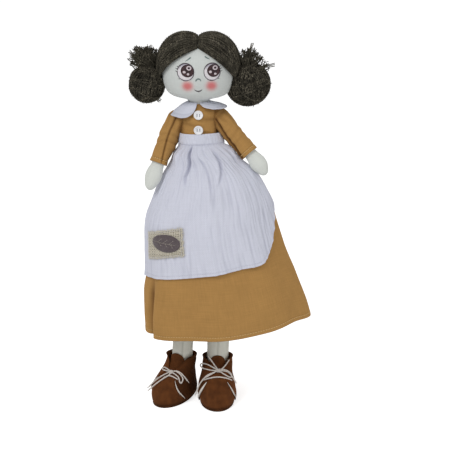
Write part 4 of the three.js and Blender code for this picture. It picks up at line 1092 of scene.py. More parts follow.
def make_sleeve(name, side):
    right = name == "right"
    limb = Limb(ARMS[name])
    cuff = limb.length * CUFF_SHARE + 0.6
    stations = [[0, 0.4, 0.4], [1, 4.3, 4.0], [3.7, 7.6, 7.1], [8.2, 9.0, 8.3], [cuff * 0.45, 9.0, 8.1],
                [cuff * 0.72, 8.4, 7.5], [cuff - 5, 8.2, 7.1], [cuff, 8.5, 7.4]]
    places = np.concatenate([np.linspace(0, 8, 12), np.linspace(8.6, cuff, 92)])
    place, angle = mesh_grid(places, ring_angles(88))
    share = place / cuff
    top, bottom = (math.radians(value) for value in CREASES[name])
    offset = (angle - (top + (bottom - top) * share) + math.pi) % TURN - math.pi
    along = smoothstep(share, 0.05, 0.2) * (1 - smoothstep(share, 0.93, 1.0) * 0.5)
    groove = bump(offset, 0.0, 0.1 if right else 0.14) * along
    ridge = (bump(offset, 0.26, 0.16) * 0.9 + bump(offset, -0.28, 0.18) * 0.5) * along
    half_width, half_depth = between(stations, place)
    inner = np.maximum(-side * np.sin(angle), 0) ** 2
    widening = 2.8 * bump(share, 0.62, 0.21) if right else 1.1 * smoothstep(share, 0.15, 0.35)
    half_width = half_width + inner * widening
    if right:
        half_depth = half_depth - 1.3 * np.maximum(np.cos(angle), 0) * smoothstep(place, 12, 30)
    plain = limb.point(place, angle, half_width, half_depth)
    soft = lumps(plain, 8.5, 4.0 + side * 2.5) * 0.75 + lumps(plain, 4.5, 1.5 + side) * 0.25
    elbow = bump(share, 0.55, 0.16) * np.sin(share * 46 + 3 * np.sin(angle + side)) * (0.42 if right else 0.3)
    near = bump(share, 0.24, 0.12) * np.sin(angle * 7 + share * 9 + side) * 0.5
    free = smoothstep(share, 0.04, 0.16) * (1 - 0.6 * smoothstep(share, 0.88, 0.94))
    grow = (soft + elbow + near) * free - groove * 1.25 + ridge * 0.55
    grow = grow + smoothstep(place, cuff - 4.4, cuff - 4.0) * 0.28 - bump(place, cuff - 3.5, 0.5) * 0.22
    points = limb.point(place, angle, half_width + grow, half_depth + grow)
    high = 1 - smoothstep(share, 0.0, 0.6)
    points[..., 0] += high * (1.8 if right else -1.0)
    points[..., 2] += high * (0.0 if right else 1.6)
    # painted shade in the crease, at the shoulder, above the cuff and in the wrinkles, and a painted shadow
    # along the inner side next to the body
    shade = groove * (0.75 if right else 0.95) + bump(share, 0.13, 0.05) * 0.35
    shade = shade + bump(place, cuff - 4.3, 0.35) * 0.3 + np.clip(-elbow - near, 0, 1) * 0.35
    shade = shade + inner**2.5 * 0.9 * smoothstep(share, 0.08, 0.2)
    inside = limb.path[len(limb.path) // 3]
    piece = cloth_piece(f"sleeve_cloth_{name}", points, dress_look, inside, CLOTH, shade, closed=True,
                        caps=(0,))
    worn(piece, f"arm_{name}", f"sleeve_{name}")
    row = int(np.argmin(np.abs(places - (cuff - 3.4))))
    ring = np.concatenate([points[row], points[row, :1]])
    seam = stitches(Strands(), ring, 1.7, 0.8, 0.25, 0.17, away(ring.mean(axis=0)))
    worn(seam.done(f"sleeve_stitches_{name}", stitch_look), f"arm_{name}")


# Skirt: shares of the drop, and there of the sway aside, the spread in width and the spread in depth
FLARE = [
    [0, 0, 0, 0], [0.03, 0.06, 0.08, 0.09], [0.07, 0.26, 0.21, 0.23], [0.139, 0.41, 0.4, 0.44],
    [0.268, 0.46, 0.59, 0.61], [0.381, 0.44, 0.695, 0.71], [0.526, 0.575, 0.77, 0.82],
    [0.655, 0.75, 0.845, 0.9], [0.773, 0.86, 0.94, 0.96], [0.902, 1, 1, 1], [1, 1.03, 1, 1],
]
BAND_LOW, BAND_HIGH = 261.5, 275.0
FLARE_TOP = BAND_LOW - 0.3
HEM_LOWEST = 69.66
SKIRT_TOP = 265.5
SKIRT_INSIDE = (20, 0, 160)
SWAY, HEM_WIDE, HEM_DEEP = 27, 84, 53


def waves(angle):
    return 0.6 * np.cos(8 * angle + 0.6) + 0.4 * np.cos(5 * angle - 1.1)


def skirt_point(angle, height, out):
    down = np.clip((FLARE_TOP - height) / (FLARE_TOP - HEM_LOWEST), 0, 1)
    centre, wide, deep = between(FLARE, down)
    degrees = np.degrees(angle)
    swing = 6.5 * smoothstep(down, 0.68, 1.0)
    crease, lip = bump(degrees, -62 - swing, 5.5), bump(degrees, -52 - swing, 7)
    fold = 2.6 * (down**0.7 * waves(angle)) - smoothstep(down, 0.62, 0.9) * (7.5 * crease - 1.2 * lip)
    puffed = smoothstep(height, 247, 254.5) * (1 - 0.4 * smoothstep(height, 261, 266))
    fold = fold + 8.0 * puffed * bump(degrees, 88, 36)
    x = SWAY * centre + np.sin(angle) * (18.0 + (HEM_WIDE - 18.0) * wide + fold + out)
    y = -np.cos(angle) * (15.0 + (HEM_DEEP - 15.0) * deep + fold + out)
    return np.stack([x, y, np.broadcast_to(height, x.shape)], axis=-1)


def hem_height(angle):
    return 75.5 + 0.1025 * (SWAY + HEM_WIDE * np.sin(angle)) + 3.5 * bump(np.degrees(angle), 50, 20)


def make_skirt():
    angles = np.linspace(-math.pi, math.pi, 300, endpoint=False)
    parts = (np.linspace(0, 0.12, 18)[:-1], np.linspace(0.12, 0.95, 84)[:-1], np.linspace(0.95, 1, 16))
    down, angle = mesh_grid(np.concatenate(parts), angles)
    hem = hem_height(angle)
    height = SKIRT_TOP + (hem - SKIRT_TOP) * down
    plain = skirt_point(angle, height, -0.2)
    gathers = 0.5 * np.sin(angle * 46 + 1.5 * np.sin(angle * 5)) * bump(down, 0.03, 0.1)
    soft = lumps(plain, 26, 8.0) * 1.3 + lumps(plain, 11, 2.0) * 0.3
    above_hem = height - hem
    band = (1 - smoothstep(above_hem, 4.4, 4.9)) * 0.22
    dip = bump(above_hem, 3.9, 0.5) * 0.22
    out = -0.2 + gathers + soft * smoothstep(down, 0.3, 0.8) * 0.6 + band - dip
    points = skirt_point(angle, height, out)
    crease = bump(np.degrees(angle), -63 - 6.5 * smoothstep(down, 0.68, 1.0), 4.0)
    shade = crease * smoothstep(down, 0.62, 0.8) * 0.75
    shade = shade + bump(above_hem, 4.6, 0.35) * 0.18 + bump(down, 0.01, 0.04) * 0.3
    piece = cloth_piece("skirt_cloth", points, dress_look, SKIRT_INSIDE, CLOTH, shade, closed=True)
    worn(piece, "torso", "skirt")
    row = int(np.argmin(np.abs(above_hem[:, 0] - 3.9)))
    line = np.concatenate([points[row], points[row, :1]])
    outward = away((SWAY, 0, 0), (1 / HEM_WIDE, HEM_WIDE / HEM_DEEP**2, 0))
    seam = stitches(Strands(), line, 2.0, 0.9, 0.2, 0.14, outward)
    worn(seam.done("skirt_hem_stitches", stitch_look), "torso")


# Apron: its sides in degrees, and the height of its hem over APRON_HEM_BASE at stations in degrees
APRON_FROM, APRON_TO = -88, 79
APRON_HEM = [[APRON_FROM, -15.5], [-67, -12.5], [-30, -7.2], [-10, -2.6], [20, 4], [38, 7.5], [50, 17],
             [61, 31], [70, 45], [APRON_TO, 60]]
APRON_HEM_BASE, APRON_TOP, APRON_DROP = 145, 265.4, 115
APRON_INSIDE = (15, 10, 180)
# Pressed folds: their way as shares of the drop and angles, depth, width in degrees, first and last share
PLEATS = [
    ([(0, -18), (0.09, -22), (0.23, -31), (0.31, -30)], 4.0, 4.6, 0.0, 0.31),
    ([(0, 35), (0.09, 30), (0.165, 22), (0.22, 16.5), (0.31, 8.5)], 1.9, 4.6, 0.03, 0.32),
    ([(0, -8), (0.06, -6), (0.18, -2), (0.3, 0), (0.55, 1.5)], 1.1, 3.6, 0.07, 0.5),
    ([(0, 64), (0.14, 59), (0.25, 55)], 0.8, 6.0, 0.03, 0.24),
    ([(0, -52), (0.16, -60)], 0.7, 5.0, 0.0, 0.17),
    ([(0, -37), (0.14, -46)], 0.6, 4.0, 0.0, 0.14),
    ([(0, 9), (0.12, 10)], 0.5, 4.0, 0.0, 0.12),
    ([(0, 49), (0.12, 50)], 0.6, 4.0, 0.0, 0.13),
]


def apron_out(angle, down):
    calm = smoothstep(angle, math.radians(-30), math.radians(-8)) * 0.8 + 0.2
    pleat = 0.55 + 0.22 * np.cos(11 * angle + 0.4 * np.sin(3 * angle))
    return 1.15 + 2.4 * pleat * calm * smoothstep(down, 0, 0.3)


def apron_bottom(angle):
    return APRON_HEM_BASE + between(APRON_HEM, np.degrees(angle))


def apron_point(angle, down, out):
    height = APRON_TOP + (apron_bottom(angle) - APRON_TOP) * down
    return skirt_point(angle, height, apron_out(angle, down) + out)


def pressed(angle, down):
    """Relief and shade of the pleats that fan from the waistband."""
    relief, shade = np.zeros(angle.shape), np.zeros(angle.shape)
    for way, depth, width, start, end in PLEATS:
        shares, turns = zip(*way)
        offset = np.degrees(angle) - np.interp(down, shares, turns)
        fading = smoothstep(down, start + (end - start) * 0.6, end * 1.1)
        strength = smoothstep(down, start, start + 0.06) * (1 - fading)
        wide = width * (1.1 - 0.5 * smoothstep(down, 0, 0.3))
        trough = bump(offset, 0, wide * 0.6)
        shoulder = bump(np.abs(offset), wide * 1.1, wide * 0.7)
        relief += strength * depth * (0.45 * shoulder - trough)
        shade += strength * trough * 0.4 * min(depth / 1.8, 1.2)
    return relief, shade


def fabric_noise(across, down, seed):
    """Noise over a sheet's own two ways."""
    return lumps(np.stack([across, down, 0 * down], axis=-1), 1.0, seed)


def make_apron():
    parts = (np.linspace(0, 0.1, 18)[:-1], np.linspace(0.1, 0.96, 120)[:-1], np.linspace(0.96, 1, 14))
    downs = np.concatenate(parts)
    down, angle = mesh_grid(downs, np.radians(np.linspace(APRON_FROM, APRON_TO, 250)))
    relief, shade = pressed(angle, down)
    degrees = np.degrees(angle)
    crinkle = fabric_noise(degrees / 2.7, down * 3.6, 11.0)
    fine = fabric_noise(degrees / 1.25, down * 7, 4.0)
    puff = 3.2 + 2.6 * np.abs(np.sin(angle)) - 4.6 * smoothstep(degrees, -52, -74)
    puff = puff * bump(down, 0.09, 0.065) * smoothstep(down, 0, 0.04)
    side = np.minimum(degrees - APRON_FROM, APRON_TO - degrees)
    reach = np.minimum(side * 1.1, (1 - down) * APRON_DROP)
    hem = (1 - smoothstep(reach, 2.0, 2.5)) * 0.3 - bump(reach, 2.5, 0.45) * 0.2
    wide = 2.0 * bump(degrees, APRON_TO, 16) * bump(down, 0.3, 0.12)
    out = 0.45 + puff + wide + relief + crinkle * 0.8 * smoothstep(down, 0.02, 0.2) + fine * 0.3 + hem
    out = np.maximum(out, 0.15 - 0.7 * apron_out(angle, down))
    points = apron_point(angle, down, out)
    points[..., 2] += (1 - smoothstep(side, 0, 3.0)) * smoothstep(down, 0.9, 1.0) * 0.5
    shade = shade + np.clip(-crinkle - 0.15, 0, 1) * 0.42 + np.clip(-fine - 0.2, 0, 1) * 0.24
    shade = shade + bump(reach, 2.6, 0.5) * 0.18 + bump(down, 0, 0.02) * 0.12
    piece = cloth_piece("apron_cloth", points, gauze_look, APRON_INSIDE, 0.8, shade)
    worn(piece, "torso", "apron")
    row = int(np.argmin(np.abs((1 - downs) * APRON_DROP - 2.4)))
    left = int(np.argmin(np.abs(degrees[0] - APRON_FROM - 2.2)))
    right = int(np.argmin(np.abs(APRON_TO - degrees[0] - 2.2)))
    line = [points[12:row, left], points[row, left:right + 1], points[12:row, right][::-1]]
    outward = away((18, 6, 0), (1, 1.5, 0))
    seam = stitches(Strands(), np.concatenate(line), 1.8, 0.9, 0.17, 0.12, outward)
    worn(seam.done("apron_hem_stitches", white_stitch), "torso")


def make_band():
    low, height_on_torso = BAND_LOW + 3, 268.0
    heights = np.concatenate([np.linspace(low, low + 1, 4), np.linspace(low + 1.6, BAND_HIGH - 1.6, 18),
                              np.linspace(BAND_HIGH - 1, BAND_HIGH, 4)])
    height, angle = mesh_grid(heights, ring_angles(190))
    tucks = fabric_noise(angle * 14, height * 0.16, 3.0) * 0.4
    fine = fabric_noise(angle * 34, height * 0.35, 8.0) * 0.16
    rim = (1 - smoothstep(height, low, low + 1.4)) * 0.4
    rim = rim + smoothstep(height, BAND_HIGH - 1.4, BAND_HIGH) * 0.5
    out = 3.6 + tucks + fine - rim + 0.5 * (1 - smoothstep(height, low, BAND_HIGH))
    out = out + bump(angle, TURN / 4, 0.6) * (2.4 + (BAND_HIGH - height) * 0.26)
    points = torso_point(angle, np.full_like(height, height_on_torso), out)
    points[..., 2] = height + 0.35 * np.sin(angle * 2 + 0.4) + tucks * 0.4
    shade = np.clip(-tucks, 0, 1) * 0.4 + bump(height, low + 0.2, 0.9) * 0.14
    inside = (0, 0, height_on_torso)
    piece = cloth_piece("apron_band_cloth", points, gauze_look, inside, 1.0, shade, closed=True)
    worn(piece, "torso", "apron_waistband")


# Bow of the apron's ties at the back
BOW_Y = 13.4 + 0.9 + 2.6


def ribbon(part, node, path, across, width):
    """A tie's ribbon along a path; across holds the direction of its width at each point."""
    points = np.array([path + across * (width / 2 * share)[:, None] for share in np.linspace(-1, 1, 9)])
    points = points + lumps(points, 3.2, 6.0)[..., None] * np.array([0.15, 0.35, 0.15])
    piece = thicken(sheet_piece(part, points, gauze_look), 0.7, 0.0)
    worn(piece, "torso", node)


def make_bow():
    middle = (BAND_LOW + BAND_HIGH) / 2 - 1
    ball, down, around = ball_grid(24, 36, 0.03)
    pinch = 1 + 0.1 * np.cos(around * 2)[..., None] + 0.05 * np.sin(around * 9 + down * 3)[..., None]
    points = ball * pinch * [4.1, 2.6, 5.6] + [0, BOW_Y + 2.4, middle]
    knot = closed_piece("apron_knot_cloth", points, gauze_look)
    worn(knot, "torso", "apron_bow_knot")
    for name, side in (("right", -1), ("left", 1)):
        share = np.linspace(0, 1, 60)
        arch = np.sin(math.pi * share)
        x = side * (2.6 + 15.8 * arch**0.85)
        y = BOW_Y + 3.0 - np.cos(math.pi * share) * (0.9 + 3.4 * arch)
        path = np.column_stack([x, y, middle + 0.6 - 2.2 * arch**2])
        across = np.tile(unit([0.088 * side, 0.1, 1.0]), (60, 1))
        ribbon(f"apron_loop_cloth_{name}", f"apron_bow_loop_{name}", path, across, 4.5 + 5.5 * arch**0.7)
        heights = np.linspace(middle - 2, BAND_LOW - 57, 70)
        fall = (middle - heights) / 60
        angle = math.pi - side * np.radians(7.5 + 9 * fall - 5 * fall**2)
        hanging = skirt_point(angle, heights, 1.5 + 0.6 * np.sin(fall * 9 + side))
        start = np.array([side * 2.0, BOW_Y + 2.6, middle - 2])
        ease = smoothstep(fall, 0.0, 0.16)[:, None]
        path = start * (1 - ease) + hanging * ease
        path[:, 2] = heights
        across = np.tile(unit([1, 0, 0.12 * side]), (70, 1))
        ribbon(f"apron_tail_cloth_{name}", f"apron_tie_{name}", path, across,
               4.2 + 6.3 * smoothstep(fall, 0, 0.3))


# Burlap patch with a felt leaf; the patch spans -1 to 1 across and up
PATCH_TURN, PATCH_HEIGHT, PATCH_EDGE = -44.5, 170.2376, 0.91
FELT_DOME = 0.55
APRON_OUTWARD = away((15, 10, 0), (1, 1.4, 0))


def patch_point(across, up, out):
    angle = np.radians(PATCH_TURN + across * 19.8)
    height = PATCH_HEIGHT + up * 13.2 + across * 4.4
    down = (APRON_TOP - height) / (APRON_TOP - apron_bottom(angle))
    return skirt_point(angle, height, apron_out(angle, down) + 1.1 + out)


def weave_threads(threads, count, crossed, upright):
    """The burlap's threads of one way, over and under those that cross them."""
    steps = np.linspace(-1, 1, 84)
    first, span, shortest, longest, stray, waves_along, shift = (
        (0.965, 1.93, -0.02, 0.05, 0.008, 5, 2) if upright else (0.96, 1.92, -0.03, 0.045, 0.012, 4, 1))
    for index in range(count):
        place = -first + span * index / (count - 1)
        line = steps * (1.0 + chance.uniform(shortest, longest))
        over = np.cos(line * crossed * math.pi / 2 + index * math.pi) * (-0.26 if upright else 0.26)
        sway = place + chance.normal(0, stray) + stray * np.sin(line * waves_along + index * shift)
        lift = 0.62 + over + (0.15 if abs(place) > 0.9 and not upright else 0)
        way = (sway, line) if upright else (line, sway)
        thickness = 0.34 * chance.uniform(0.75, 1.3)
        threads.lay(patch_point(*way, lift), thickness, 5, tint=chance.random())


def make_patch():
    threads = Strands()
    across_count, up_count = 25, 20
    weave_threads(threads, up_count, across_count, False)
    weave_threads(threads, across_count, up_count, True)
    for _ in range(200):
        if chance.random() < 0.5:
            across, edge = chance.uniform(-1, 1), chance.choice([-1, 1])
            drift, reach = chance.normal(0, 0.04), chance.uniform(0.04, 0.13)
            ends = [(across, edge * 0.98), (across + drift, edge * (1 + reach))]
        else:
            edge, up = chance.choice([-1, 1]), chance.uniform(-1, 1)
            reach, drift = chance.uniform(0.03, 0.1), chance.normal(0, 0.05)
            ends = [(edge * 0.985, up), (edge * (1 + reach), up + drift)]
        line = np.linspace(ends[0], ends[1], 6)
        lift = 0.55 + chance.uniform(0, 0.5) * np.linspace(0, 1, 6)
        threads.lay(patch_point(*line.T, lift), 0.16, 4, tint=chance.random())
    cloth = threads.done("patch_weave", burlap_look)
    worn(cloth, "torso", "patch")
    across, up = np.meshgrid(np.linspace(-0.97, 0.97, 30), np.linspace(-0.97, 0.97, 24))
    backing = cloth_piece("patch_backing", patch_point(across, up, 0.5), backing_look, APRON_INSIDE, 0.35)
    worn(backing, "torso")
    corners = PATCH_EDGE * np.array([(-1, -1), (1, -1), (1, 1), (-1, 1), (-1, -1)])
    sewing = Strands()
    for start, end in zip(corners, corners[1:]):
        line = np.linspace(start, end, 60)
        stitches(sewing, patch_point(*line.T, 1.0), 1.5, 1.0, 0.2, 0.18, APRON_OUTWARD)
    worn(sewing.done("patch_stitches", white_stitch), "torso")


def leaf_point(along, up, out):
    return patch_point(along * 0.68 + up * 0.2 + 0.2, up - along * 0.32 + 0.08, out)


def make_leaf():
    along, share = mesh_grid(np.linspace(-1, 1, 70), np.linspace(-1, 1, 27))
    half = 0.6 * np.sqrt(np.clip(1 - 0.985 * along**2, 0, 1)) * (1 + 0.08 * along)
    rough = fabric_noise(along * 7, share * 3, 2.0) * 0.025
    up = share * (half + rough * np.abs(share))
    dome = FELT_DOME * (1 - share**2) * (1 - along**4)
    points = leaf_point(along, up, 1.75 + dome - 0.35 * bump(share, 0, 0.09) * (along < 0.86))
    piece = cloth_piece("felt_leaf", points, felt_dark, APRON_INSIDE, 0.9)
    worn(piece, "torso", "patch_leaf")
    veins = Strands()
    side_veins = [((x, 0), (x + 0.24, side * 0.3))
                  for x, side in ((-0.5, 1), (-0.35, -1), (-0.1, 1), (0.05, -1), (0.3, 1), (0.42, -1))]
    for start, end in [((-1.08, 0), (0.8, 0)), *side_veins]:
        line = np.linspace(start, end, 40)
        lift = 1.85 + FELT_DOME * (1 - (line[:, 1] / 0.6) ** 2)
        stitches(veins, leaf_point(*line.T, lift), 1.5, 0.8, 0.17, 0.12, APRON_OUTWARD)
    worn(veins.done("leaf_stitches", leaf_thread), "torso")


# Legs and boots. The boot's rings are a height, half width, reach ahead and reach behind
BOOT = [
    [0, 16.6, 45.9, 14.9], [4, 18.4, 47.4, 16.5], [11, 18.9, 48.05, 17], [18, 18.1, 45.3, 16.7],
    [24, 16.4, 37.2, 16], [30, 14.6, 24.8, 14.9], [36, 14, 15.6, 13.9], [39, 13.6, 13.8, 13.6],
    [47, 13.6, 13.8, 13.6],
]
# Where each ankle stands, and how far the foot turns, in degrees
ANKLES = {"right": (-18.8, 3.0, -28.0), "left": (17.9, -1.5, 0.0)}
# Lace points are side, height and stand-off on the boot
LACES = {
    "right": {
        "knot": [[(2.4, 31.4, 2.6)]],
        "loops": [[(-1.8, 32.2, 2.2), (-7.9, 32.9, 3), (-10.2, 32.2, 3.4), (-9.1, 31.2, 3.2),
                   (-4.9, 31.4, 2.6)],
                  [(6, 31.9, 2.2), (12.4, 29.5, 2.8), (17.3, 25.4, 3.2), (17.8, 22.6, 3.2), (16.1, 24.1, 2.8),
                   (11.9, 27.8, 2.2)]],
        "ends": [[(-1.5, 30.1, 2), (-6, 27.5, 2.6), (-9.4, 24.6, 4), (-11.6, 20.7, 8)],
                 [(1.3, 29.1, 2), (-2.7, 26.3, 2.2), (-6.1, 23.3, 4), (-9.4, 19.2, 8)],
                 [(6.4, 32.1, 2.2), (11.6, 30.7, 2.8), (16.8, 27.3, 3.4), (21.5, 22.6, 4.5)]],
        "cross": [[(-2.8, 26.9, 1.3), (1.5, 28.7, 1.5), (6.9, 28.1, 1.4), (12.6, 25.8, 1.2)]],
    },
    "left": {
        "knot": [[(1, 34, 2.6)]],
        "loops": [[(-3.2, 35.5, 2.2), (-10.3, 37.7, 3), (-16.1, 36.6, 3.6), (-17.9, 33.6, 3.4),
                   (-14.8, 33.3, 2.8), (-6.4, 33.8, 2.2)],
                  [(6.3, 34.2, 2.2), (11.4, 32.3, 2.8), (15.5, 28.7, 3.2), (14.6, 27.7, 3.2),
                   (8.9, 30.2, 2.4)]],
        "ends": [[(-4.4, 32.3, 2), (-11.4, 29.2, 2.8), (-18, 23.2, 5), (-21.5, 17.5, 9)],
                 [(7.6, 33, 2.2), (13.3, 30.4, 3), (20, 23.7, 5)]],
        "cross": [[(-14.6, 25.3, 1.4), (-8.2, 28.3, 1.6), (0.7, 29.7, 1.8), (10.1, 27.9, 1.6),
                   (16.2, 24.4, 1.4)],
                  [(-14.6, 25.9, 1.6), (-8.9, 29.8, 2), (-2.5, 32.8, 2.2)],
                  [(-9.7, 46, 1.2), (-7.1, 43.2, 1.6), (-3.6, 38.5, 1.8), (0.5, 34.5, 2.2)],
                  [(12, 41.2, 1.6), (9.1, 37.9, 1.6), (5.1, 35.1, 2), (1.5, 34.2, 2.2)]],
    },
}
LACE_RADIUS = 0.78
SOLE_TOP, BOOT_WALL = 2.6, 1.2


def boot_point(angle, height, out):
    half_width, front, back = between(BOOT, height)
    forward = np.cos(angle)
    x = np.sin(angle) * (half_width + out) * (1 + 0.08 * forward)
    y = (back - front) / 2 - forward * ((front + back) / 2 + out)
    return np.stack([x, y, np.broadcast_to(height, x.shape)], axis=-1)


def on_foot(points, name):
    ankle_x, ankle_y, turn = ANKLES[name]
    angle = math.radians(turn)
    x, y, z = np.moveaxis(np.asarray(points, float), -1, 0)
    slim = 0.04 + (0.11 if name == "right" else 0.05) * smoothstep(z, 6, 14)
    x = x - np.maximum(x, 0) * slim * (1 - smoothstep(z, 24, 38))
    turned_x = x * math.cos(angle) - y * math.sin(angle) + ankle_x
    turned_y = x * math.sin(angle) + y * math.cos(angle) + ankle_y
    return np.stack([turned_x, turned_y, z], axis=-1)


def make_leg(name, side):
    x, y, _ = ANKLES[name]
    hip_x = side * 14.2
    lean, full = (2.2, 0) if side < 0 else (0.6, 0.9)
    limb = Limb([(hip_x, 0, 210.3), (hip_x, 0, 200), ((hip_x + x) / 2 + lean * 0.5, y / 2, 119.5),
                 (x + lean, y, 72), (x, y, 41), (x, y, 14)])
    length = limb.length
    stations = [[0, 0.5, 0.5], [1.2, 4.9, 4.9], [4.6, 8.9, 8.9], [10.3, 10.3, 10.3],
                [length * 0.2, 11.6, 11.6], [length * 0.5, 9.9, 10.3],
                [length * 0.66, 10.6 + full, 10.9 + full], [length * 0.9, 10.4 + full * 0.4, 10.6],
                [length, 9.6, 9.6]]
    places = np.concatenate([np.linspace(0, 10, 14)[:-1], np.linspace(10, length, 90)])
    place, angle = mesh_grid(places, ring_angles(64))
    half_width, half_depth = between(stations, place)
    plain = limb.point(place, angle, half_width, half_depth)
    # seam: the two seams' grooves, which also take painted shade
    seam = bump(np.cos(angle), -1, 0.004) + bump(np.cos(angle), 1, 0.004)
    soft = lumps(plain, 12, side * 3.0) * 0.35 - seam * 0.35 + np.cos(angle * 2) * 0.1
    points = limb.point(place, angle, half_width + soft, half_depth + soft)
    piece = closed_piece(f"leg_cotton_{name}", points, leg_look, seam * 0.4)
    worn(piece, f"leg_{name}", f"leg_{name}")


def boot_sheet(name, part, node, angle, height, out, thickness, shade):
    """A suede piece of a boot, dented a little above the sole."""
    plain = boot_point(angle, height, out)
    high, higher = (40, 60) if name == "left" else (0, 0)
    dents = lumps(plain + [0, 0, high], 9, 3.0) * 0.35 + lumps(plain + [0, 0, higher], 4, 5.0) * 0.35 * 0.25
    points = on_foot(boot_point(angle, height, out + dents * smoothstep(height, 1.5, 7)), name)
    x, y, _ = ANKLES[name]
    piece = cloth_piece(f"{part}_{name}", points, suede_brown, (x, y - 8, 16), thickness, shade)
    worn(piece, f"leg_{name}", f"{node}_{name}")


# Along a quarter's edge: share of the way up, degrees from the toe, height
QUARTER_EDGE = [[0, 74, 2.7], [0.2, 66, 10], [0.4, 50, 20], [0.52, 34, 26.5], [0.6, 17, 31], [0.66, 14, 33],
                [0.78, 27, 36.8], [0.9, 41, 40.4], [0.96, 50, 42.2], [1, 64, 43.2]]


def make_toe(name):
    """The toe piece, which lies under the quarters."""
    row, column = mesh_grid(np.linspace(0, 1, 48), np.linspace(-1, 1, 81))
    edge = 33.5 - 2.2 * np.abs(column) ** 1.3
    height = SOLE_TOP + (edge - SOLE_TOP) * row
    shade = bump(row, 0, 0.05) * 0.7 + smoothstep(row, 0.9, 1.0) * 0.35
    boot_sheet(name, "boot_toe_suede", "boot_toe", np.radians(82 * column), height, 0.0, BOOT_WALL, shade)


def make_quarters(name):
    """The heel piece: two quarters that wrap the heel and meet over the instep."""
    rise = np.linspace(0, 1, 64)
    edge_angle, edge_height = [value[:, None] for value in between(QUARTER_EDGE, rise)]
    rise = rise[:, None]
    share = np.linspace(-1, 1, 121)[None]
    inward = np.abs(share) ** 1.15
    height = (2.7 + 37.8 * rise) * (1 - inward) + edge_height * inward
    angle = (180 * (1 - inward) + edge_angle * inward) * np.sign(share + 1e-9)
    angle = np.radians(np.where(np.abs(share) < 1e-9, 180, angle))
    angle = np.where(angle < 0, angle + TURN, angle)
    near_edge = smoothstep(inward, 0.95, 1.0)
    top = smoothstep(rise, 0.9, 1.0)
    out = 1.45 + 0.9 * top + near_edge * 0.5 * smoothstep(rise, 0.5, 0.8) + 0 * height
    inner = 1 if name == "right" else -1
    # painted shade at the sole, along the edges and the top, and a painted shadow on the inner flank, where
    # the two boots face each other
    shade = bump(rise, 0, 0.04) * 0.7 + near_edge * 0.25 + top * 0.2
    shade = shade + 0.55 * smoothstep(np.sin(angle) * inner, 0.2, 0.9)
    flipped = [table[:, ::-1] for table in (angle, height, out, shade)]
    boot_sheet(name, "boot_quarters_suede", "boot_heel", *flipped[:3], BOOT_WALL, flipped[3])


def make_tongue(name):
    row, across = mesh_grid(np.sin(np.linspace(0, TURN / 4, 40)), np.linspace(-1, 1, 33))
    half = 37 * np.sqrt(1 - 0.985 * np.clip((row - 0.6) / 0.4, 0, 1) ** 2)
    boot_sheet(name, "boot_tongue_suede", "boot_tongue", np.radians(half * across), 27 + 19 * row,
               -1.3 + 0 * row, 1.0, 0.25 * (1 - row))


def make_sole(name):
    """The sole, with a rounded edge."""
    heights = np.array([0.0, 0.0, 0.35, 1.1, 2.0, 2.45, 2.5])
    outs = np.array([-2.0, -0.3, 0.15, 0.4, 0.25, -0.2, -2.0])
    shape = (len(heights), 110)
    angles = np.broadcast_to(ring_angles(shape[1]), shape)
    ring = boot_point(angles, np.full(shape, 1.2), outs[:, None] + 0.3)
    ring[..., 2] = heights[:, None]
    sole = closed_piece(f"boot_sole_suede_{name}", on_foot(ring, name), sole_look)
    worn(sole, f"leg_{name}", f"boot_sole_{name}")


def make_edging(name):
    """The pale cord along the quarters where they are sewn down on the toe piece."""
    edging = Strands()
    for side in (-1, 1):
        thick = 1.3 if name == "left" and side < 0 else 0.72
        angle, height = between(QUARTER_EDGE, np.linspace(0.1, 0.5, 60))
        line = on_foot(boot_point(np.radians((angle - 1.2) * side), height, 1.5), name)
        swell = np.sin(np.linspace(0.12, math.pi - 0.12, 60)) ** 0.6
        edging.lay(line, thick * swell, 8, 0.2, 3.0, tint=0.1)
    worn(edging.done(f"boot_edging_{name}", edging_look), f"leg_{name}")


def lace_point(x, height, out):
    """A point on the boot, before it turns, at a distance from its middle in the front view."""
    half_width = between(BOOT, height)[0]
    angle = math.asin(max(min(x / (half_width * 1.06 + out), 0.97), -0.97))
    point = boot_point(np.array(angle), np.array(float(height)), out + BOOT_WALL)
    return point + [x - point[0], 0, 0]


def make_lace(name):
    """The lace: two loops, their ends and the runs between the flaps, round a small knot."""
    route = {part: [[lace_point(*p) for p in run] for run in runs] for part, runs in LACES[name].items()}
    middle = route["knot"][0][0]
    laces = Strands()
    jobs = [[middle, *loop, middle] for loop in route["loops"]]
    jobs += [[middle, *end] for end in route["ends"]] + route["cross"]
    for job in jobs:
        laces.lay(on_foot(smooth_path(job, 0.55), name), LACE_RADIUS, 10, 0.3, 3.0, tint=0.1)
    for end in route["ends"]:
        before, tip = on_foot(end[-2:], name)
        way = unit(tip - before)
        for _ in range(7):
            fray = tip + way * chance.uniform(1.0, 2.4) + chance.normal(0, 0.5, 3)
            laces.lay(smooth_path([tip - way * 0.4, (tip + fray) / 2, fray], 0.5), 0.16, 4, tint=0.1)
    for turn in range(3):
        steps = ring_angles(26)
        x = (turn - 1) * 1.05 + 0.25 * np.sin(steps)
        wrap = np.column_stack([x, 1.3 * np.cos(steps), 1.6 * np.sin(steps)])
        laces.lay(on_foot(middle + wrap, name), 0.68, 8, 0.3, 3.0, closed=True, tint=0.1)
    worn(laces.done(f"boot_lace_cord_{name}", lace_look), f"leg_{name}", f"boot_lace_{name}")


# The hidden hard parts keep their CAD shape
def dress_nodes():
    looks = {
        "neck_dowel": wood_look, "shoulder_thread": waxed_thread, "hip_thread": waxed_thread,
        "shoulder_button_right": joint_look, "shoulder_button_left": joint_look,
        "hip_button_right": joint_look, "hip_button_left": joint_look,
        "boot_insole_right": board_look, "boot_insole_left": board_look,
    }
    for name, look in looks.items():
        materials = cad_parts[name].data.materials
        materials.clear()
        materials.append(look)


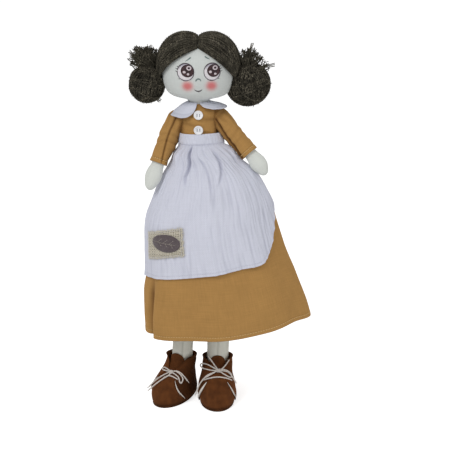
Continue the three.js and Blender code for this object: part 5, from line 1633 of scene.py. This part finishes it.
# Floor, light and camera, in metres
FLOOR_REACH = 80.0
WHITE = (1, 1, 1, 1)
LAMPS = (
    ("key", (-0.75, -1.0, 1.25), (0, 0, 0.17), 0.9, 9.8),
    ("fill", (1.1, -0.9, 0.5), (0, 0, 0.17), 1.1, 3.4),
    ("top", (0.1, 0.5, 1.5), (0, 0, 0.2), 1.0, 3.0),
)
# The photograph is 225 pixels from its middle to its edge, at a focal length of 1000 pixels
HALF_PHOTO, FOCAL_LENGTH = 225, 1000
CAMERA_DISTANCE, CAMERA_LEAN = 1.0, math.radians(15)
CAMERA_AIM = Vector((AXIS[0] + 0.0255, AXIS[1], 0.1807))


def placed(name, data, place=(0, 0, 0), aim=None):
    """An object in the scene, turned to look at a point where one is named."""
    made = bpy.data.objects.new(name, data)
    bpy.context.scene.collection.objects.link(made)
    made.location = place
    if aim is not None:
        made.rotation_euler = (Vector(aim) - Vector(place)).to_track_quat("-Z", "Y").to_euler()
    return made


def make_stage():
    """A pale floor and room that look white to the camera and light the doll less than that."""
    mesh = bpy.data.meshes.new("floor")
    corners = [(x * FLOOR_REACH, y * FLOOR_REACH, 0) for x, y in ((-1, -1), (1, -1), (1, 1), (-1, 1))]
    mesh.from_pydata(corners, [], [(0, 1, 2, 3)])
    s = Shader("pale_floor")
    paper = s.node("BsdfDiffuse", Color=(0.86, 0.86, 0.86, 1)).outputs[0]
    glow = s.node("Emission", Color=WHITE, Strength=0.7).outputs[0]
    seen = s.node("LightPath").outputs
    looked_at = s.math("MAXIMUM", seen["Is Camera Ray"], seen["Is Glossy Ray"])
    looked_at = s.math("MAXIMUM", looked_at, seen["Is Transmission Ray"])
    both = s.node("AddShader", i0=paper, i1=glow).outputs[0]
    s.node("OutputMaterial", Surface=s.node("MixShader", i0=looked_at, i1=paper, i2=both).outputs[0])
    mesh.materials.append(s.owner)
    placed("floor", mesh)

    room = Shader("soft_room", "worlds")
    bpy.context.scene.world = room.owner
    seen = room.node("LightPath").outputs
    looked_at = room.math("MAXIMUM", seen["Is Camera Ray"], seen["Is Glossy Ray"])
    lamp = room.node("Background", Color=WHITE, Strength=0.43).outputs[0]
    white = room.node("Background", Color=WHITE, Strength=1.0).outputs[0]
    room.node("OutputWorld", Surface=room.node("MixShader", i0=looked_at, i1=lamp, i2=white).outputs[0])

    for name, place, aim, size, power in LAMPS:
        light = bpy.data.lights.new(name, "AREA")
        light.shape = "DISK"
        light.size = size
        light.energy = power
        placed(name, light, place, aim)


def make_camera():
    data = bpy.data.cameras.new("camera")
    data.angle = 2 * math.atan(HALF_PHOTO / FOCAL_LENGTH)
    way = Vector((0, -math.cos(CAMERA_LEAN), math.sin(CAMERA_LEAN)))
    bpy.context.scene.camera = placed("camera", data, CAMERA_AIM + way * CAMERA_DISTANCE, CAMERA_AIM)
    bpy.context.scene.view_settings.view_transform = "Standard"


make_camera()
make_stage()
make_torso()
make_bodice()
make_head()
make_face()
make_skirt()
make_apron()
make_band()
make_bow()
make_patch()
make_leaf()
make_button("button_upper", 293.4)
make_button("button_lower", 279.3)
make_tufts()
for side_name, side_sign in (("right", -1), ("left", 1)):
    make_collar(side_name, side_sign)
    make_arm(side_name, side_sign)
    make_sleeve(side_name, side_sign)
    make_lobe(side_name, side_sign)
    make_bun(side_name, side_sign)
    make_leg(side_name, side_sign)
    for make_part in (make_toe, make_quarters, make_tongue, make_sole, make_edging, make_lace):
        make_part(side_name)
dress_nodes()
